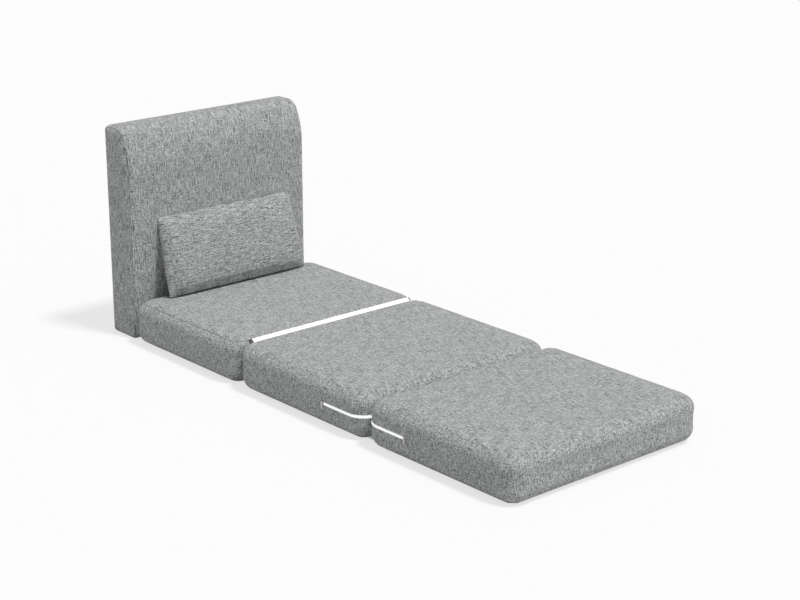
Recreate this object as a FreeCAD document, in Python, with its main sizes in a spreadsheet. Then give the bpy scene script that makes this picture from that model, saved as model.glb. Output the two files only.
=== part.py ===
import FreeCAD
import Part
import Sketcher
import math
import os

# Convertible chair bed: a backrest, three foam cushions hinged in a Z fold, and a lumbar pillow.
# X runs across the bed, Y from the foot end (minus) to the backrest (plus), Z up.
# The origin is the middle of the seat cushion's underside, on the floor.

# Driving sizes, in millimetres unless the comment says degrees
SIZES = {
    # Three cushions in a row, each a slab with rounded edges
    "cushion_width": 700.0,
    "seat_length": 530.0,
    "middle_length": 564.0,
    "foot_length": 564.0,
    "cushion_height": 131.0,
    "crown_rise": 3.0,
    "crown_reach": 20.0,
    "plan_corner_radius": 54.0,
    "top_edge_radius": 32.0,
    "base_edge_radius": 40.0,
    "side_draw": 2.0,
    "cushion_gap": 4.0,
    # Backrest, standing on the floor behind the seat cushion
    "backrest_width": 675.0,
    "backrest_thickness": 121.0,
    "backrest_height": 655.0,
    "backrest_gap": 6.0,
    "front_bend_height": 525.0,
    "front_bend_radius": 219.0,
    "top_bend_radius": 45.0,
    "rear_top_radius": 14.0,
    "foot_edge_radius": 14.0,
    "upright_edge_radius": 24.0,
    "side_panel_inset": 8.0,
    # Sewn covers
    "cover_thickness": 2.0,
    "foam_top_cut": 22.0,
    "foam_base_cut": 33.0,
    "top_seam_height": 125.0,
    "base_seam_height": 10.0,
    # Coil zips
    "zip_height": 69.0,
    "zip_width": 7.5,
    "zip_proud": 1.5,
    "zip_back_clearance": 0.4,
    "zip_side_reach": 172.0,
    "seat_zip_margin": 60.0,
    "backrest_zip_margin": 47.5,
    # Zip sliders and their pulls
    "slider_length": 11.0,
    "slider_wall": 1.5,
    "slider_plate": 1.2,
    "slider_grip": 0.7,
    "slider_corner_radius": 0.8,
    "running_clearance": 0.3,
    "bail_bar_radius": 0.5,
    "bail_post": 1.0,
    "pull_length": 14.0,
    "pull_width": 4.6,
    "pull_thickness": 1.0,
    "pull_eye_wall": 0.8,
    "pull_eye_width": 3.6,
    # Fabric strips that join the cushions
    "hinge_strip_margin": 57.0,
    "hinge_strip_width": 38.0,
    "strip_thickness": 1.2,
    "floor_strip_margin": 45.0,
    # Loose lumbar pillow; the lean is in degrees
    "pillow_length": 510.0,
    "pillow_height": 250.0,
    "pillow_thickness": 88.0,
    "pillow_lean": 11.0,
    "pillow_edge": 3.0,
    "pillow_taper": 120.0,
    "pillow_cover": 1.5,
    "pillow_seam_margin": 8.0,
    "pillow_clearance": 1.0,
}

# Angles, in degrees, at which the rings of a cushion's rounded base and top edges stand
BASE_RING_ANGLES = (0, 45, 90)
TOP_RING_ANGLES = (0, 30, 60, 84)

document = FreeCAD.newDocument("chair_bed")
sheet = document.addObject("Spreadsheet::Sheet", "Sizes")
for row, (alias, value) in enumerate(SIZES.items(), start=1):
    sheet.set(f"A{row}", alias)
    sheet.set(f"B{row}", str(value))
    sheet.setAlias(f"B{row}", alias)
document.recompute()

NODES = []


def size(alias):
    """Name a cell of the sheet for use in an expression."""
    return f"Sizes.{alias}"


def keep(obj, label):
    """Give a finished sub-part its name and list it for writing."""
    obj.Label = label
    NODES.append(obj)
    return obj


def origin_plane(body, role):
    """Find one of a body's own origin planes."""
    return next(f for f in body.Origin.OriginFeatures if f.Role == role)


def plane_sketch(body, name, role, offset):
    """Start a sketch parallel to an origin plane, at an offset given as an expression."""
    sketch = body.newObject("Sketcher::SketchObject", name)
    sketch.AttachmentSupport = [(origin_plane(body, role), "")]
    sketch.MapMode = "FlatFace"
    sketch.setExpression("AttachmentOffset.Base.z", offset)
    return sketch


def dimension(sketch, kind, name, expression, *where):
    """Add a dimension to a sketch and bind it to an expression."""
    value = float(sketch.evalExpression(expression))
    index = sketch.addConstraint(Sketcher.Constraint(kind, *where, value))
    sketch.renameConstraint(index, name)
    sketch.setExpression(f"Constraints.{name}", expression)


def circle_arc(centre_x, centre_y, radius, start, end):
    """Make an arc, with its start and end angles in degrees."""
    circle = Part.Circle(FreeCAD.Vector(centre_x, centre_y, 0), FreeCAD.Vector(0, 0, 1), radius)
    return Part.ArcOfCircle(circle, math.radians(start), math.radians(end))


def line(start, end):
    """Make a straight edge between two points of a sketch."""
    return Part.LineSegment(FreeCAD.Vector(*start, 0), FreeCAD.Vector(*end, 0))


def rounded_rectangle(sketch, name, width, depth, radius):
    """Draw a rounded rectangle about the sketch's origin; its sizes are expressions."""
    half_x = float(sketch.evalExpression(width)) / 2
    half_y = float(sketch.evalExpression(depth)) / 2
    corner = float(sketch.evalExpression(radius))
    in_x = half_x - corner
    in_y = half_y - corner
    first = sketch.GeometryCount
    sketch.addGeometry([
        line((-in_x, -half_y), (in_x, -half_y)),
        line((half_x, -in_y), (half_x, in_y)),
        line((in_x, half_y), (-in_x, half_y)),
        line((-half_x, in_y), (-half_x, -in_y)),
        circle_arc(in_x, -in_y, corner, 270, 360),
        circle_arc(in_x, in_y, corner, 0, 90),
        circle_arc(-in_x, in_y, corner, 90, 180),
        circle_arc(-in_x, -in_y, corner, 180, 270),
    ])
    front, right, back, left = (first + side for side in range(4))
    arcs = [first + 4 + corner_index for corner_index in range(4)]
    for before, arc, after in zip((front, right, back, left), arcs, (right, back, left, front)):
        sketch.addConstraint(Sketcher.Constraint("Tangent", before, 2, arc, 1))
        sketch.addConstraint(Sketcher.Constraint("Tangent", arc, 2, after, 1))
    for side in (front, back):
        sketch.addConstraint(Sketcher.Constraint("Horizontal", side))
    for side in (left, right):
        sketch.addConstraint(Sketcher.Constraint("Vertical", side))
    for arc in arcs[1:]:
        sketch.addConstraint(Sketcher.Constraint("Equal", arcs[0], arc))
    sketch.addConstraint(Sketcher.Constraint("Symmetric", front, 1, back, 1, -1, 1))
    dimension(sketch, "DistanceX", f"{name}_width", width, left, 2, right, 1)
    dimension(sketch, "DistanceY", f"{name}_depth", depth, front, 2, back, 1)
    dimension(sketch, "Radius", f"{name}_radius", radius, arcs[0])


def pad(body, sketch, name, length):
    """Pad a sketch along its normal by a length given as an expression."""
    feature = body.newObject("PartDesign::Pad", name)
    feature.Profile = sketch
    feature.setExpression("Length", length)
    return feature


def loft(body, sketches, name):
    """Loft straight from sketch to sketch."""
    feature = body.newObject("PartDesign::AdditiveLoft", name)
    feature.Profile = sketches[0]
    feature.Sections = sketches[1:]
    feature.Ruled = True
    return feature


def box(name, low, high):
    """Make a box between two corners given as expressions."""
    piece = document.addObject("Part::Box", name)
    for axis, side, start, end in zip("xyz", ("Length", "Width", "Height"), low, high):
        piece.setExpression(f"Placement.Base.{axis}", start)
        piece.setExpression(side, f"({end}) - ({start})")
    return piece


def cut(name, base, tool):
    """Cut one shape from another."""
    piece = document.addObject("Part::Cut", name)
    piece.Base = base
    piece.Tool = tool
    return piece


def common(name, *shapes):
    """Keep what several shapes share."""
    piece = document.addObject("Part::MultiCommon", name)
    piece.Shapes = list(shapes)
    return piece


def fuse(name, *shapes):
    """Join several shapes into one."""
    piece = document.addObject("Part::MultiFuse", name)
    piece.Shapes = list(shapes)
    piece.Refine = True
    return piece


def cushion_rings():
    """List the rings of a cushion as pairs of expressions: inset from the outline, and height.

    The rings climb round the base edge, draw in a little at the zip's height, close over the top
    edge and rise to the crown. Their corners share one centre, so the corners are cones.
    """
    base = size("base_edge_radius")
    top = size("top_edge_radius")
    shoulder = f"({size('cushion_height')} - {size('crown_rise')})"
    rings = []
    for angle in BASE_RING_ANGLES:
        rings.append((f"{base} * (1 - sin({angle} deg))", f"{base} * (1 - cos({angle} deg))"))
    rings.append((size("side_draw"), size("zip_height")))
    for angle in TOP_RING_ANGLES:
        height = f"{shoulder} - {top} * (1 - sin({angle} deg))"
        rings.append((f"{top} * (1 - cos({angle} deg))", height))
    rings.append((f"{top} + {size('crown_reach')}", size("cushion_height")))
    return rings


def cushion_slab(name, length, middle_y):
    """Loft one cushion's rounded slab."""
    body = document.addObject("PartDesign::Body", name)
    sketches = []
    for index, (inset, height) in enumerate(cushion_rings()):
        sketch = plane_sketch(body, f"{name}_ring_{index}", "XY_Plane", height)
        width = f"{size('cushion_width')} - 2 * ({inset})"
        depth = f"{length} - 2 * ({inset})"
        rounded_rectangle(sketch, "ring", width, depth, f"{size('plan_corner_radius')} - ({inset})")
        sketches.append(sketch)
    loft(body, sketches, f"{name}_loft")
    body.setExpression("Placement.Base.y", middle_y)
    return body


def foam_block(name, length, middle_y):
    """Make one cushion's foam: a block with its corners and its long edges cut off.

    Each corner is cut straight between the ends of the cover's round corner.
    """
    body = document.addObject("PartDesign::Body", name)
    cover = size("cover_thickness")
    inset = f"({cover} + {size('side_draw')})"
    width = f"({size('cushion_width')} - 2 * {inset})"
    depth = f"({length} - 2 * {inset})"
    sketch = plane_sketch(body, f"{name}_outline", "XY_Plane", cover)
    cut_rectangle(sketch, width, depth, f"({size('plan_corner_radius')} - {inset})")
    height = f"({size('cushion_height')} - {size('crown_rise')} - 2 * {cover})"
    pad(body, sketch, f"{name}_pad", height)
    document.recompute()
    for label, side in (("base", 1), ("top", -1)):
        tip = body.Tip
        faces = tip.Shape.Faces
        level = [side * face.CenterOfMass.z for face in faces]
        chamfer = body.newObject("PartDesign::Chamfer", f"{name}_{label}_cut")
        chamfer.Base = (tip, [f"Face{level.index(min(level)) + 1}"])
        chamfer.setExpression("Size", size(f"foam_{label}_cut"))
        document.recompute()
    body.setExpression("Placement.Base.y", middle_y)
    return body


def cut_rectangle(sketch, width, depth, corner):
    """Draw a rectangle with its corners cut off at 45 degrees, about the sketch's origin."""
    half_x = float(sketch.evalExpression(width)) / 2
    half_y = float(sketch.evalExpression(depth)) / 2
    taken = float(sketch.evalExpression(corner))
    in_x = half_x - taken
    in_y = half_y - taken
    points = [
        (-in_x, -half_y), (in_x, -half_y), (half_x, -in_y), (half_x, in_y),
        (in_x, half_y), (-in_x, half_y), (-half_x, in_y), (-half_x, -in_y),
    ]
    sketch.addGeometry([line(start, end) for start, end in zip(points, points[1:] + points[:1])])
    for side in range(8):
        sketch.addConstraint(Sketcher.Constraint("Coincident", side, 2, (side + 1) % 8, 1))
    front, right, back, left = 0, 2, 4, 6
    for side, axis in ((front, -2), (back, -2), (right, -1), (left, -1)):
        sketch.addConstraint(Sketcher.Constraint("Symmetric", side, 1, side, 2, axis))
    dimension(sketch, "DistanceX", "front_length", f"{width} - 2 * {corner}", front, 1, front, 2)
    dimension(sketch, "DistanceX", "back_length", f"{width} - 2 * {corner}", back, 2, back, 1)
    dimension(sketch, "DistanceY", "right_length", f"{depth} - 2 * {corner}", right, 1, right, 2)
    dimension(sketch, "DistanceY", "left_length", f"{depth} - 2 * {corner}", left, 2, left, 1)
    dimension(sketch, "DistanceY", "front_place", f"{depth} / 2", front, 1, -1, 1)
    dimension(sketch, "DistanceY", "back_place", f"{depth} / 2", -1, 1, back, 1)
    dimension(sketch, "DistanceX", "right_place", f"{width} / 2", -1, 1, right, 1)
    dimension(sketch, "DistanceX", "left_place", f"{width} / 2", left, 1, -1, 1)


def zip_ring(name, length, middle_y):
    """Pad the closed band that a zip would fill if it ran all round a cushion."""
    body = document.addObject("PartDesign::Body", name)
    low = f"{size('zip_height')} - {size('zip_width')} / 2"
    sketch = plane_sketch(body, f"{name}_outline", "XY_Plane", low)
    outer = f"({size('side_draw')} - {size('zip_proud')})"
    inner = f"({size('side_draw')} + {size('cover_thickness')} - {size('zip_back_clearance')})"
    for label, inset in (("outer", outer), ("inner", inner)):
        width = f"{size('cushion_width')} - 2 * {inset}"
        depth = f"{length} - 2 * {inset}"
        rounded_rectangle(sketch, label, width, depth, f"{size('plan_corner_radius')} - {inset}")
    pad(body, sketch, f"{name}_pad", size("zip_width"))
    body.setExpression("Placement.Base.y", middle_y)
    return body


def slider(name, x, y, rotation):
    """Make a zip slider: a plate with two side walls over the chain and a bail for its pull.

    In its own frame X runs along the chain, Y up and Z out of the cushion, and Z is zero at the
    chain's outer face.
    """
    clearance = size("running_clearance")
    grip = size("slider_grip")
    plate_top = f"({clearance} + {size('slider_plate')})"
    channel = f"({size('zip_width')} + 2 * {clearance})"
    eye_radius = f"({size('bail_bar_radius')} + {clearance} + {size('pull_eye_wall')})"
    bar_height = f"({plate_top} + {clearance} + {eye_radius})"
    post_inner = f"({size('pull_eye_width')} / 2 + {clearance})"
    bar_radius = size("bail_bar_radius")
    block = document.addObject("PartDesign::Body", f"{name}_block")
    outline = plane_sketch(block, f"{name}_outline", "XY_Plane", f"-{grip}")
    rounded_rectangle(
        outline, "block", size("slider_length"), f"{channel} + 2 * {size('slider_wall')}",
        size("slider_corner_radius"),
    )
    pad(block, outline, f"{name}_pad", f"{grip} + {plate_top}")
    groove = box(
        f"{name}_groove",
        (f"-{size('slider_length')}", f"-{channel} / 2", f"-2 * {grip}"),
        (size("slider_length"), f"{channel} / 2", clearance),
    )
    plate = cut(f"{name}_plate", block, groove)
    posts = []
    for side, low_x in (("low", f"-{post_inner} - {size('bail_post')}"), ("high", post_inner)):
        posts.append(box(
            f"{name}_{side}_post",
            (low_x, f"-{bar_radius}", f"{plate_top} - {size('slider_plate')} / 2"),
            (f"{low_x} + {size('bail_post')}", bar_radius, f"{bar_height} + {bar_radius}"),
        ))
    bar = document.addObject("Part::Cylinder", f"{name}_bar")
    bar.Placement.Rotation = FreeCAD.Rotation(FreeCAD.Vector(0, 1, 0), 90)
    bar.setExpression("Radius", bar_radius)
    bar.setExpression("Height", f"2 * {post_inner} + {size('bail_post')}")
    bar.setExpression("Placement.Base.x", f"-{post_inner} - {size('bail_post')} / 2")
    bar.setExpression("Placement.Base.z", bar_height)
    whole = fuse(f"{name}_fused", plate, *posts, bar)
    place(whole, rotation, x, y, size("zip_height"))
    return keep(whole, name)


def pull(name, x, y, rotation):
    """Make the tab that hangs from a slider's bail, in the slider's frame."""
    clearance = size("running_clearance")
    inner = f"({size('bail_bar_radius')} + {clearance})"
    outer = f"({inner} + {size('pull_eye_wall')})"
    bar_height = f"({clearance} + {size('slider_plate')} + {clearance} + {outer})"
    width = size("pull_eye_width")
    rings = []
    for label, radius in (("outer", outer), ("inner", inner)):
        ring = document.addObject("Part::Cylinder", f"{name}_eye_{label}")
        ring.Placement.Rotation = FreeCAD.Rotation(FreeCAD.Vector(0, 1, 0), 90)
        ring.setExpression("Radius", radius)
        ring.setExpression("Height", width)
        ring.setExpression("Placement.Base.x", f"-{width} / 2")
        ring.setExpression("Placement.Base.z", bar_height)
        rings.append(ring)
    tab = document.addObject("PartDesign::Body", f"{name}_tab")
    tab_low = f"{bar_height} - {outer}"
    outline = plane_sketch(tab, f"{name}_outline", "XY_Plane", tab_low)
    tab_length = f"({size('pull_length')} - {inner})"
    rounded_rectangle(
        outline, "tab", size("pull_width"), tab_length, size("slider_corner_radius"),
    )
    pad(tab, outline, f"{name}_pad", size("pull_thickness"))
    tab.setExpression("Placement.Base.y", f"-{inner} - {tab_length} / 2")
    whole = cut(f"{name}_cut", fuse(f"{name}_fused", rings[0], tab), rings[1])
    place(whole, rotation, x, y, size("zip_height"))
    return keep(whole, name)


def place(obj, rotation, x, y, z):
    """Turn an object and set its place by expressions."""
    obj.Placement.Rotation = rotation
    for axis, expression in zip("xyz", (x, y, z)):
        obj.setExpression(f"Placement.Base.{axis}", expression)


def cushion(name, length, middle_y, chain_low, chain_high):
    """Make a cushion's foam, its three sewn cover panels and its zip chain."""
    outer = cushion_slab(f"{name}_slab", length, middle_y)
    foam = keep(foam_block(f"{name}_block", length, middle_y), f"{name}_foam")
    shell = cut(f"{name}_shell", outer, foam)
    half_x = f"{size('cushion_width')} / 2"
    low_y = f"{middle_y} - {length} / 2"
    high_y = f"{middle_y} + {length} / 2"
    base_seam = size("base_seam_height")
    top_seam = size("top_seam_height")
    levels = (
        ("base_panel", "0", base_seam),
        ("border", base_seam, top_seam),
        ("top_panel", top_seam, size("cushion_height")),
    )
    ring = zip_ring(f"{name}_zip_ring", length, middle_y)
    chain_box = box(f"{name}_zip_span", chain_low, chain_high)
    chain = keep(common(f"{name}_zip_common", ring, chain_box), f"{name}_zip_chain")
    for label, low_z, high_z in levels:
        slab = box(f"{name}_{label}_box", (f"-{half_x}", low_y, low_z), (half_x, high_y, high_z))
        panel = common(f"{name}_{label}_common", shell, slab)
        if label == "border":
            panel = cut(f"{name}_border_slot", panel, chain)
        keep(panel, f"{name}_{label}")


def side_profile(name, skin):
    """Pad the backrest's side profile across its width.

    From the floor the profile goes up the flat front, back over two bends to the top, round the
    rear top corner and down the flat rear. In the sketch, X is the distance behind the front.
    """
    body = document.addObject("PartDesign::Body", name)
    half = f"({size('backrest_width')} / 2 - {skin})"
    sketch = plane_sketch(body, f"{name}_sketch", "YZ_Plane", f"-{half}")
    value = {key: float(sketch.evalExpression(expression)) for key, expression in {
        "skin": skin, "depth": size("backrest_thickness"), "height": size("backrest_height"),
        "bend": size("front_bend_height"), "large": size("front_bend_radius"),
        "small": size("top_bend_radius"), "rear": size("rear_top_radius"),
        "foot": size("foot_edge_radius"),
    }.items()}
    inset = value["skin"]
    rise = value["height"] - value["small"] - value["bend"]
    reach = math.sqrt((value["large"] - value["small"]) ** 2 - rise ** 2)
    small_x = value["large"] - reach
    small_y = value["height"] - value["small"]
    turn = math.degrees(math.atan2(rise, reach))
    foot = value["foot"]
    rear_x = value["depth"] - value["rear"]
    rear_y = value["height"] - value["rear"]
    low = inset
    top = value["height"] - inset
    back = value["depth"] - inset
    sketch.addGeometry([
        line((low, value["bend"]), (low, foot)),
        circle_arc(foot, foot, foot - inset, 180, 270),
        line((foot, low), (value["depth"] - foot, low)),
        circle_arc(value["depth"] - foot, foot, foot - inset, 270, 360),
        line((back, foot), (back, rear_y)),
        circle_arc(rear_x, rear_y, value["rear"] - inset, 0, 90),
        line((rear_x, top), (small_x, top)),
        circle_arc(small_x, small_y, value["small"] - inset, 90, 180 - turn),
        circle_arc(value["large"], value["bend"], value["large"] - inset, 180 - turn, 180),
    ])
    front, foot_arc, base, heel_arc, rear, rear_arc, crest, small_arc, large_arc = range(9)
    chain = (front, foot_arc, base, heel_arc, rear, rear_arc, crest, small_arc, large_arc, front)
    for before, after in zip(chain, chain[1:]):
        sketch.addConstraint(Sketcher.Constraint("Tangent", before, 2, after, 1))
    sketch.addConstraint(Sketcher.Constraint("Vertical", front))
    sketch.addConstraint(Sketcher.Constraint("Vertical", rear))
    sketch.addConstraint(Sketcher.Constraint("Horizontal", base))
    sketch.addConstraint(Sketcher.Constraint("Horizontal", crest))
    sketch.addConstraint(Sketcher.Constraint("Equal", foot_arc, heel_arc))
    dimension(sketch, "Radius", "foot_radius", f"{size('foot_edge_radius')} - {skin}", foot_arc)
    dimension(sketch, "Radius", "rear_radius", f"{size('rear_top_radius')} - {skin}", rear_arc)
    dimension(sketch, "Radius", "small_radius", f"{size('top_bend_radius')} - {skin}", small_arc)
    dimension(sketch, "Radius", "large_radius", f"{size('front_bend_radius')} - {skin}", large_arc)
    dimension(sketch, "DistanceX", "front_x", skin, -1, 1, front, 2)
    dimension(sketch, "DistanceY", "bend_y", size("front_bend_height"), -1, 1, front, 1)
    dimension(sketch, "DistanceY", "base_y", skin, -1, 1, base, 1)
    dimension(sketch, "DistanceX", "rear_x", f"{size('backrest_thickness')} - {skin}", -1, 1, rear, 1)
    dimension(sketch, "DistanceY", "top_y", f"{size('backrest_height')} - {skin}", -1, 1, crest, 1)
    pad(body, sketch, f"{name}_pad", f"2 * {half}")
    body.setExpression("Placement.Base.y", backrest_front())
    return body


def backrest_front():
    """Give the place of the backrest's front face along Y."""
    return f"({size('seat_length')} / 2 + {size('backrest_gap')})"


def backrest_block(name, skin):
    """Make the backrest's form: its side profile, with rounded upright edges and top corners."""
    width = f"{size('backrest_width')} - 2 * {skin}"
    thickness = f"{size('backrest_thickness')} - 2 * {skin}"
    height = f"{size('backrest_height')} - 2 * {skin}"
    radius = f"{size('upright_edge_radius')} - {skin}"
    profile = side_profile(f"{name}_profile", skin)
    plan = document.addObject("PartDesign::Body", f"{name}_plan")
    plan_sketch = plane_sketch(plan, f"{name}_plan_sketch", "XY_Plane", skin)
    rounded_rectangle(plan_sketch, "plan", width, thickness, radius)
    pad(plan, plan_sketch, f"{name}_plan_pad", height)
    middle = f"{backrest_front()} + {size('backrest_thickness')} / 2"
    plan.setExpression("Placement.Base.y", middle)
    view = document.addObject("PartDesign::Body", f"{name}_view")
    view_sketch = plane_sketch(view, f"{name}_view_sketch", "XZ_Plane", f"-({thickness}) / 2")
    rounded_rectangle(view_sketch, "view", width, height, radius)
    pad(view, view_sketch, f"{name}_view_pad", thickness)
    view.setExpression("Placement.Base.y", middle)
    view.setExpression("Placement.Base.z", f"{size('backrest_height')} / 2")
    return common(name, profile, plan, view)


def backrest():
    """Make the backrest's foam, its wrap and side panels, and its rear zip chain."""
    outer = backrest_block("backrest_outer", "0")
    foam = keep(backrest_block("backrest_core", size("cover_thickness")), "backrest_foam")
    shell = cut("backrest_shell", outer, foam)
    rear = f"({backrest_front()} + {size('backrest_thickness')})"
    half = f"{size('backrest_width')} / 2"
    seam = f"({half} - {size('side_panel_inset')})"
    zip_half = f"({half} - {size('backrest_zip_margin')})"
    chain = keep(box(
        "backrest_zip_box",
        (f"-{zip_half}", f"{rear} - {size('cover_thickness')}",
         f"{size('zip_height')} - {size('zip_width')} / 2"),
        (zip_half, f"{rear} + {size('zip_proud')}",
         f"{size('zip_height')} + {size('zip_width')} / 2"),
    ), "backrest_zip_chain")
    spans = (
        ("wrap_panel", f"-{seam}", seam),
        ("left_side_panel", f"-{half}", f"-{seam}"),
        ("right_side_panel", seam, half),
    )
    for label, low_x, high_x in spans:
        slab = box(
            f"backrest_{label}_box",
            (low_x, backrest_front(), "0"),
            (high_x, rear, size("backrest_height")),
        )
        panel = common(f"backrest_{label}_common", shell, slab)
        if label == "wrap_panel":
            panel = cut("backrest_wrap_slot", panel, chain)
        keep(panel, f"backrest_{label}")


def lens(body, name, chord, rise, edge, length):
    """Pad a lens of two arcs that meet in a narrow edge; it shows the pillow's height section."""
    sketch = plane_sketch(body, f"{name}_sketch", "YZ_Plane", f"-({length}) / 2")
    radius = f"(({chord} / 2) ^ 2 + {rise} ^ 2) / (2 * {rise})"
    half = float(sketch.evalExpression(chord)) / 2
    round_radius = float(sketch.evalExpression(radius))
    half_edge = float(sketch.evalExpression(edge)) / 2
    centre = half_edge - math.sqrt(round_radius ** 2 - half ** 2)
    angle = math.degrees(math.asin(half / round_radius))
    sketch.addGeometry([
        circle_arc(centre, 0, round_radius, -angle, angle),
        line((half_edge, half), (-half_edge, half)),
        circle_arc(-centre, 0, round_radius, 180 - angle, 180 + angle),
        line((-half_edge, -half), (half_edge, -half)),
    ])
    back, top, front, base = range(4)
    for before, after in ((back, top), (top, front), (front, base), (base, back)):
        sketch.addConstraint(Sketcher.Constraint("Coincident", before, 2, after, 1))
    sketch.addConstraint(Sketcher.Constraint("Symmetric", top, 1, top, 2, -2))
    sketch.addConstraint(Sketcher.Constraint("Symmetric", base, 1, base, 2, -2))
    sketch.addConstraint(Sketcher.Constraint("Symmetric", front, 1, front, 2, -1))
    sketch.addConstraint(Sketcher.Constraint("Equal", back, front))
    dimension(sketch, "DistanceX", "edge", edge, top, 2, top, 1)
    dimension(sketch, "DistanceY", "chord", chord, front, 2, front, 1)
    dimension(sketch, "Radius", "bulge_radius", radius, back)
    pad(body, sketch, f"{name}_pad", length)


def long_lens(body, name, length, rise, edge, taper, height):
    """Pad the pillow's length section: flat in the middle, with four arcs to its narrow ends."""
    sketch = plane_sketch(body, f"{name}_sketch", "XY_Plane", f"-({height}) / 2")
    radius = f"({taper} ^ 2 + {rise} ^ 2) / (2 * {rise})"
    half = float(sketch.evalExpression(length)) / 2
    bulge = float(sketch.evalExpression(rise))
    run = float(sketch.evalExpression(taper))
    round_radius = float(sketch.evalExpression(radius))
    half_edge = float(sketch.evalExpression(edge)) / 2
    flat = half - run
    depth = half_edge + bulge
    centre = depth - round_radius
    turn = math.degrees(math.asin(run / round_radius))
    sketch.addGeometry([
        line((half, -half_edge), (half, half_edge)),
        circle_arc(flat, centre, round_radius, 90 - turn, 90),
        line((flat, depth), (-flat, depth)),
        circle_arc(-flat, centre, round_radius, 90, 90 + turn),
        line((-half, half_edge), (-half, -half_edge)),
        circle_arc(-flat, -centre, round_radius, 270 - turn, 270),
        line((-flat, -depth), (flat, -depth)),
        circle_arc(flat, -centre, round_radius, 270, 270 + turn),
    ])
    right, back_right, back, back_left, left, front_left, front, front_right = range(8)
    order = (right, back_right, back, back_left, left, front_left, front, front_right, right)
    for before, after in zip(order, order[1:]):
        kind = "Tangent" if back in (before, after) or front in (before, after) else "Coincident"
        sketch.addConstraint(Sketcher.Constraint(kind, before, 2, after, 1))
    sketch.addConstraint(Sketcher.Constraint("Symmetric", right, 1, right, 2, -1))
    sketch.addConstraint(Sketcher.Constraint("Symmetric", left, 1, left, 2, -1))
    sketch.addConstraint(Sketcher.Constraint("Symmetric", back, 1, back, 2, -2))
    sketch.addConstraint(Sketcher.Constraint("Symmetric", front, 1, front, 2, -2))
    dimension(sketch, "DistanceY", "right_edge", edge, right, 1, right, 2)
    dimension(sketch, "DistanceY", "left_edge", edge, left, 2, left, 1)
    dimension(sketch, "DistanceX", "right_end", f"{length} / 2", -1, 1, right, 1)
    dimension(sketch, "DistanceX", "left_end", f"{length} / 2", left, 1, -1, 1)
    dimension(sketch, "Radius", "back_radius", radius, back_right)
    dimension(sketch, "Radius", "front_radius", radius, front_right)
    dimension(sketch, "DistanceX", "back_flat", f"{length} - 2 * {taper}", back, 2, back, 1)
    dimension(sketch, "DistanceX", "front_flat", f"{length} - 2 * {taper}", front, 1, front, 2)
    pad(body, sketch, f"{name}_pad", height)


def pillow_form(name, length, height, rise, edge):
    """Cross the pillow's two sections, and lean the pillow on the backrest."""
    across = document.addObject("PartDesign::Body", f"{name}_across")
    lens(across, f"{name}_across", height, rise, edge, length)
    along = document.addObject("PartDesign::Body", f"{name}_along")
    long_lens(along, f"{name}_along", length, rise, edge, size("pillow_taper"), height)
    form = common(name, across, along)
    form.Placement.Rotation = FreeCAD.Rotation(FreeCAD.Vector(-1, 0, 0), SIZES["pillow_lean"])
    form.setExpression("Placement.Rotation.Angle", f"{size('pillow_lean')} * 1 deg")
    cosine = f"cos({size('pillow_lean')} * 1 deg)"
    sine = f"sin({size('pillow_lean')} * 1 deg)"
    half = f"({size('pillow_thickness')} / 2)"
    tall = f"({size('pillow_height')} / 2)"
    back = f"({half} * {cosine} + ({tall} * {sine}) ^ 2 / (4 * {half} * {cosine}))"
    drop = f"({tall} * {cosine} + {size('pillow_edge')} / 2 * {sine})"
    clearance = size("pillow_clearance")
    form.setExpression("Placement.Base.y", f"{backrest_front()} - {clearance} - {back}")
    form.setExpression("Placement.Base.z", f"{size('cushion_height')} + {clearance} + {drop}")
    return form


def pillow():
    """Make the pillow's filling and its sewn cover."""
    cover = size("pillow_cover")
    margin = size("pillow_seam_margin")
    edge = size("pillow_edge")
    outer = pillow_form(
        "pillow_outer", size("pillow_length"), size("pillow_height"),
        f"({size('pillow_thickness')} / 2 - {edge} / 2)", edge,
    )
    filling = pillow_form(
        "pillow_inner", f"({size('pillow_length')} - 2 * {margin})",
        f"({size('pillow_height')} - 2 * {margin})",
        f"({size('pillow_thickness')} / 2 - {cover} - {edge} / 4)", f"({edge} / 2)",
    )
    keep(cut("pillow_shell", outer, filling), "pillow_cover")
    keep(filling, "pillow_filling")


def strips():
    """Make the three fabric strips that join the cushions and the backrest."""
    thickness = size("strip_thickness")
    half_width = f"({size('hinge_strip_width')} / 2)"
    joint = f"(-{size('seat_length')} / 2 - {size('cushion_gap')} / 2)"
    reach = f"({half_width} - {size('cushion_gap')} / 2)"
    top_radius = size("top_edge_radius")
    shoulder = f"({size('cushion_height')} - {size('crown_rise')})"
    rest = f"({shoulder} - {top_radius} + sqrt({top_radius} ^ 2 - ({top_radius} - {reach}) ^ 2))"
    half_length = f"({size('cushion_width')} / 2 - {size('hinge_strip_margin')})"
    keep(box(
        "front_strip",
        (f"-{half_length}", f"{joint} - {half_width}", rest),
        (half_length, f"{joint} + {half_width}", f"{rest} + {thickness}"),
    ), "front_hinge_strip")
    base_radius = size("base_edge_radius")
    tuck = f"({base_radius} - sqrt({base_radius} ^ 2 - ({base_radius} - {thickness}) ^ 2))"
    half_floor = f"({size('cushion_width')} / 2 - {size('floor_strip_margin')})"
    floor_joint = f"({joint} - {size('middle_length')} - {size('cushion_gap')})"
    floor_reach = f"({size('cushion_gap')} / 2 + {tuck})"
    keep(box(
        "floor_strip",
        (f"-{half_floor}", f"{floor_joint} - {floor_reach}", "0"),
        (half_floor, f"{floor_joint} + {floor_reach}", thickness),
    ), "floor_hinge_strip")
    heel = size("foot_edge_radius")
    heel_tuck = f"({heel} - sqrt({heel} ^ 2 - ({heel} - {thickness}) ^ 2))"
    keep(box(
        "rear_strip",
        (f"-{half_floor}", f"{size('seat_length')} / 2 - {tuck}", "0"),
        (half_floor, f"{backrest_front()} + {heel_tuck}", thickness),
    ), "backrest_joining_strip")


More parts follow.
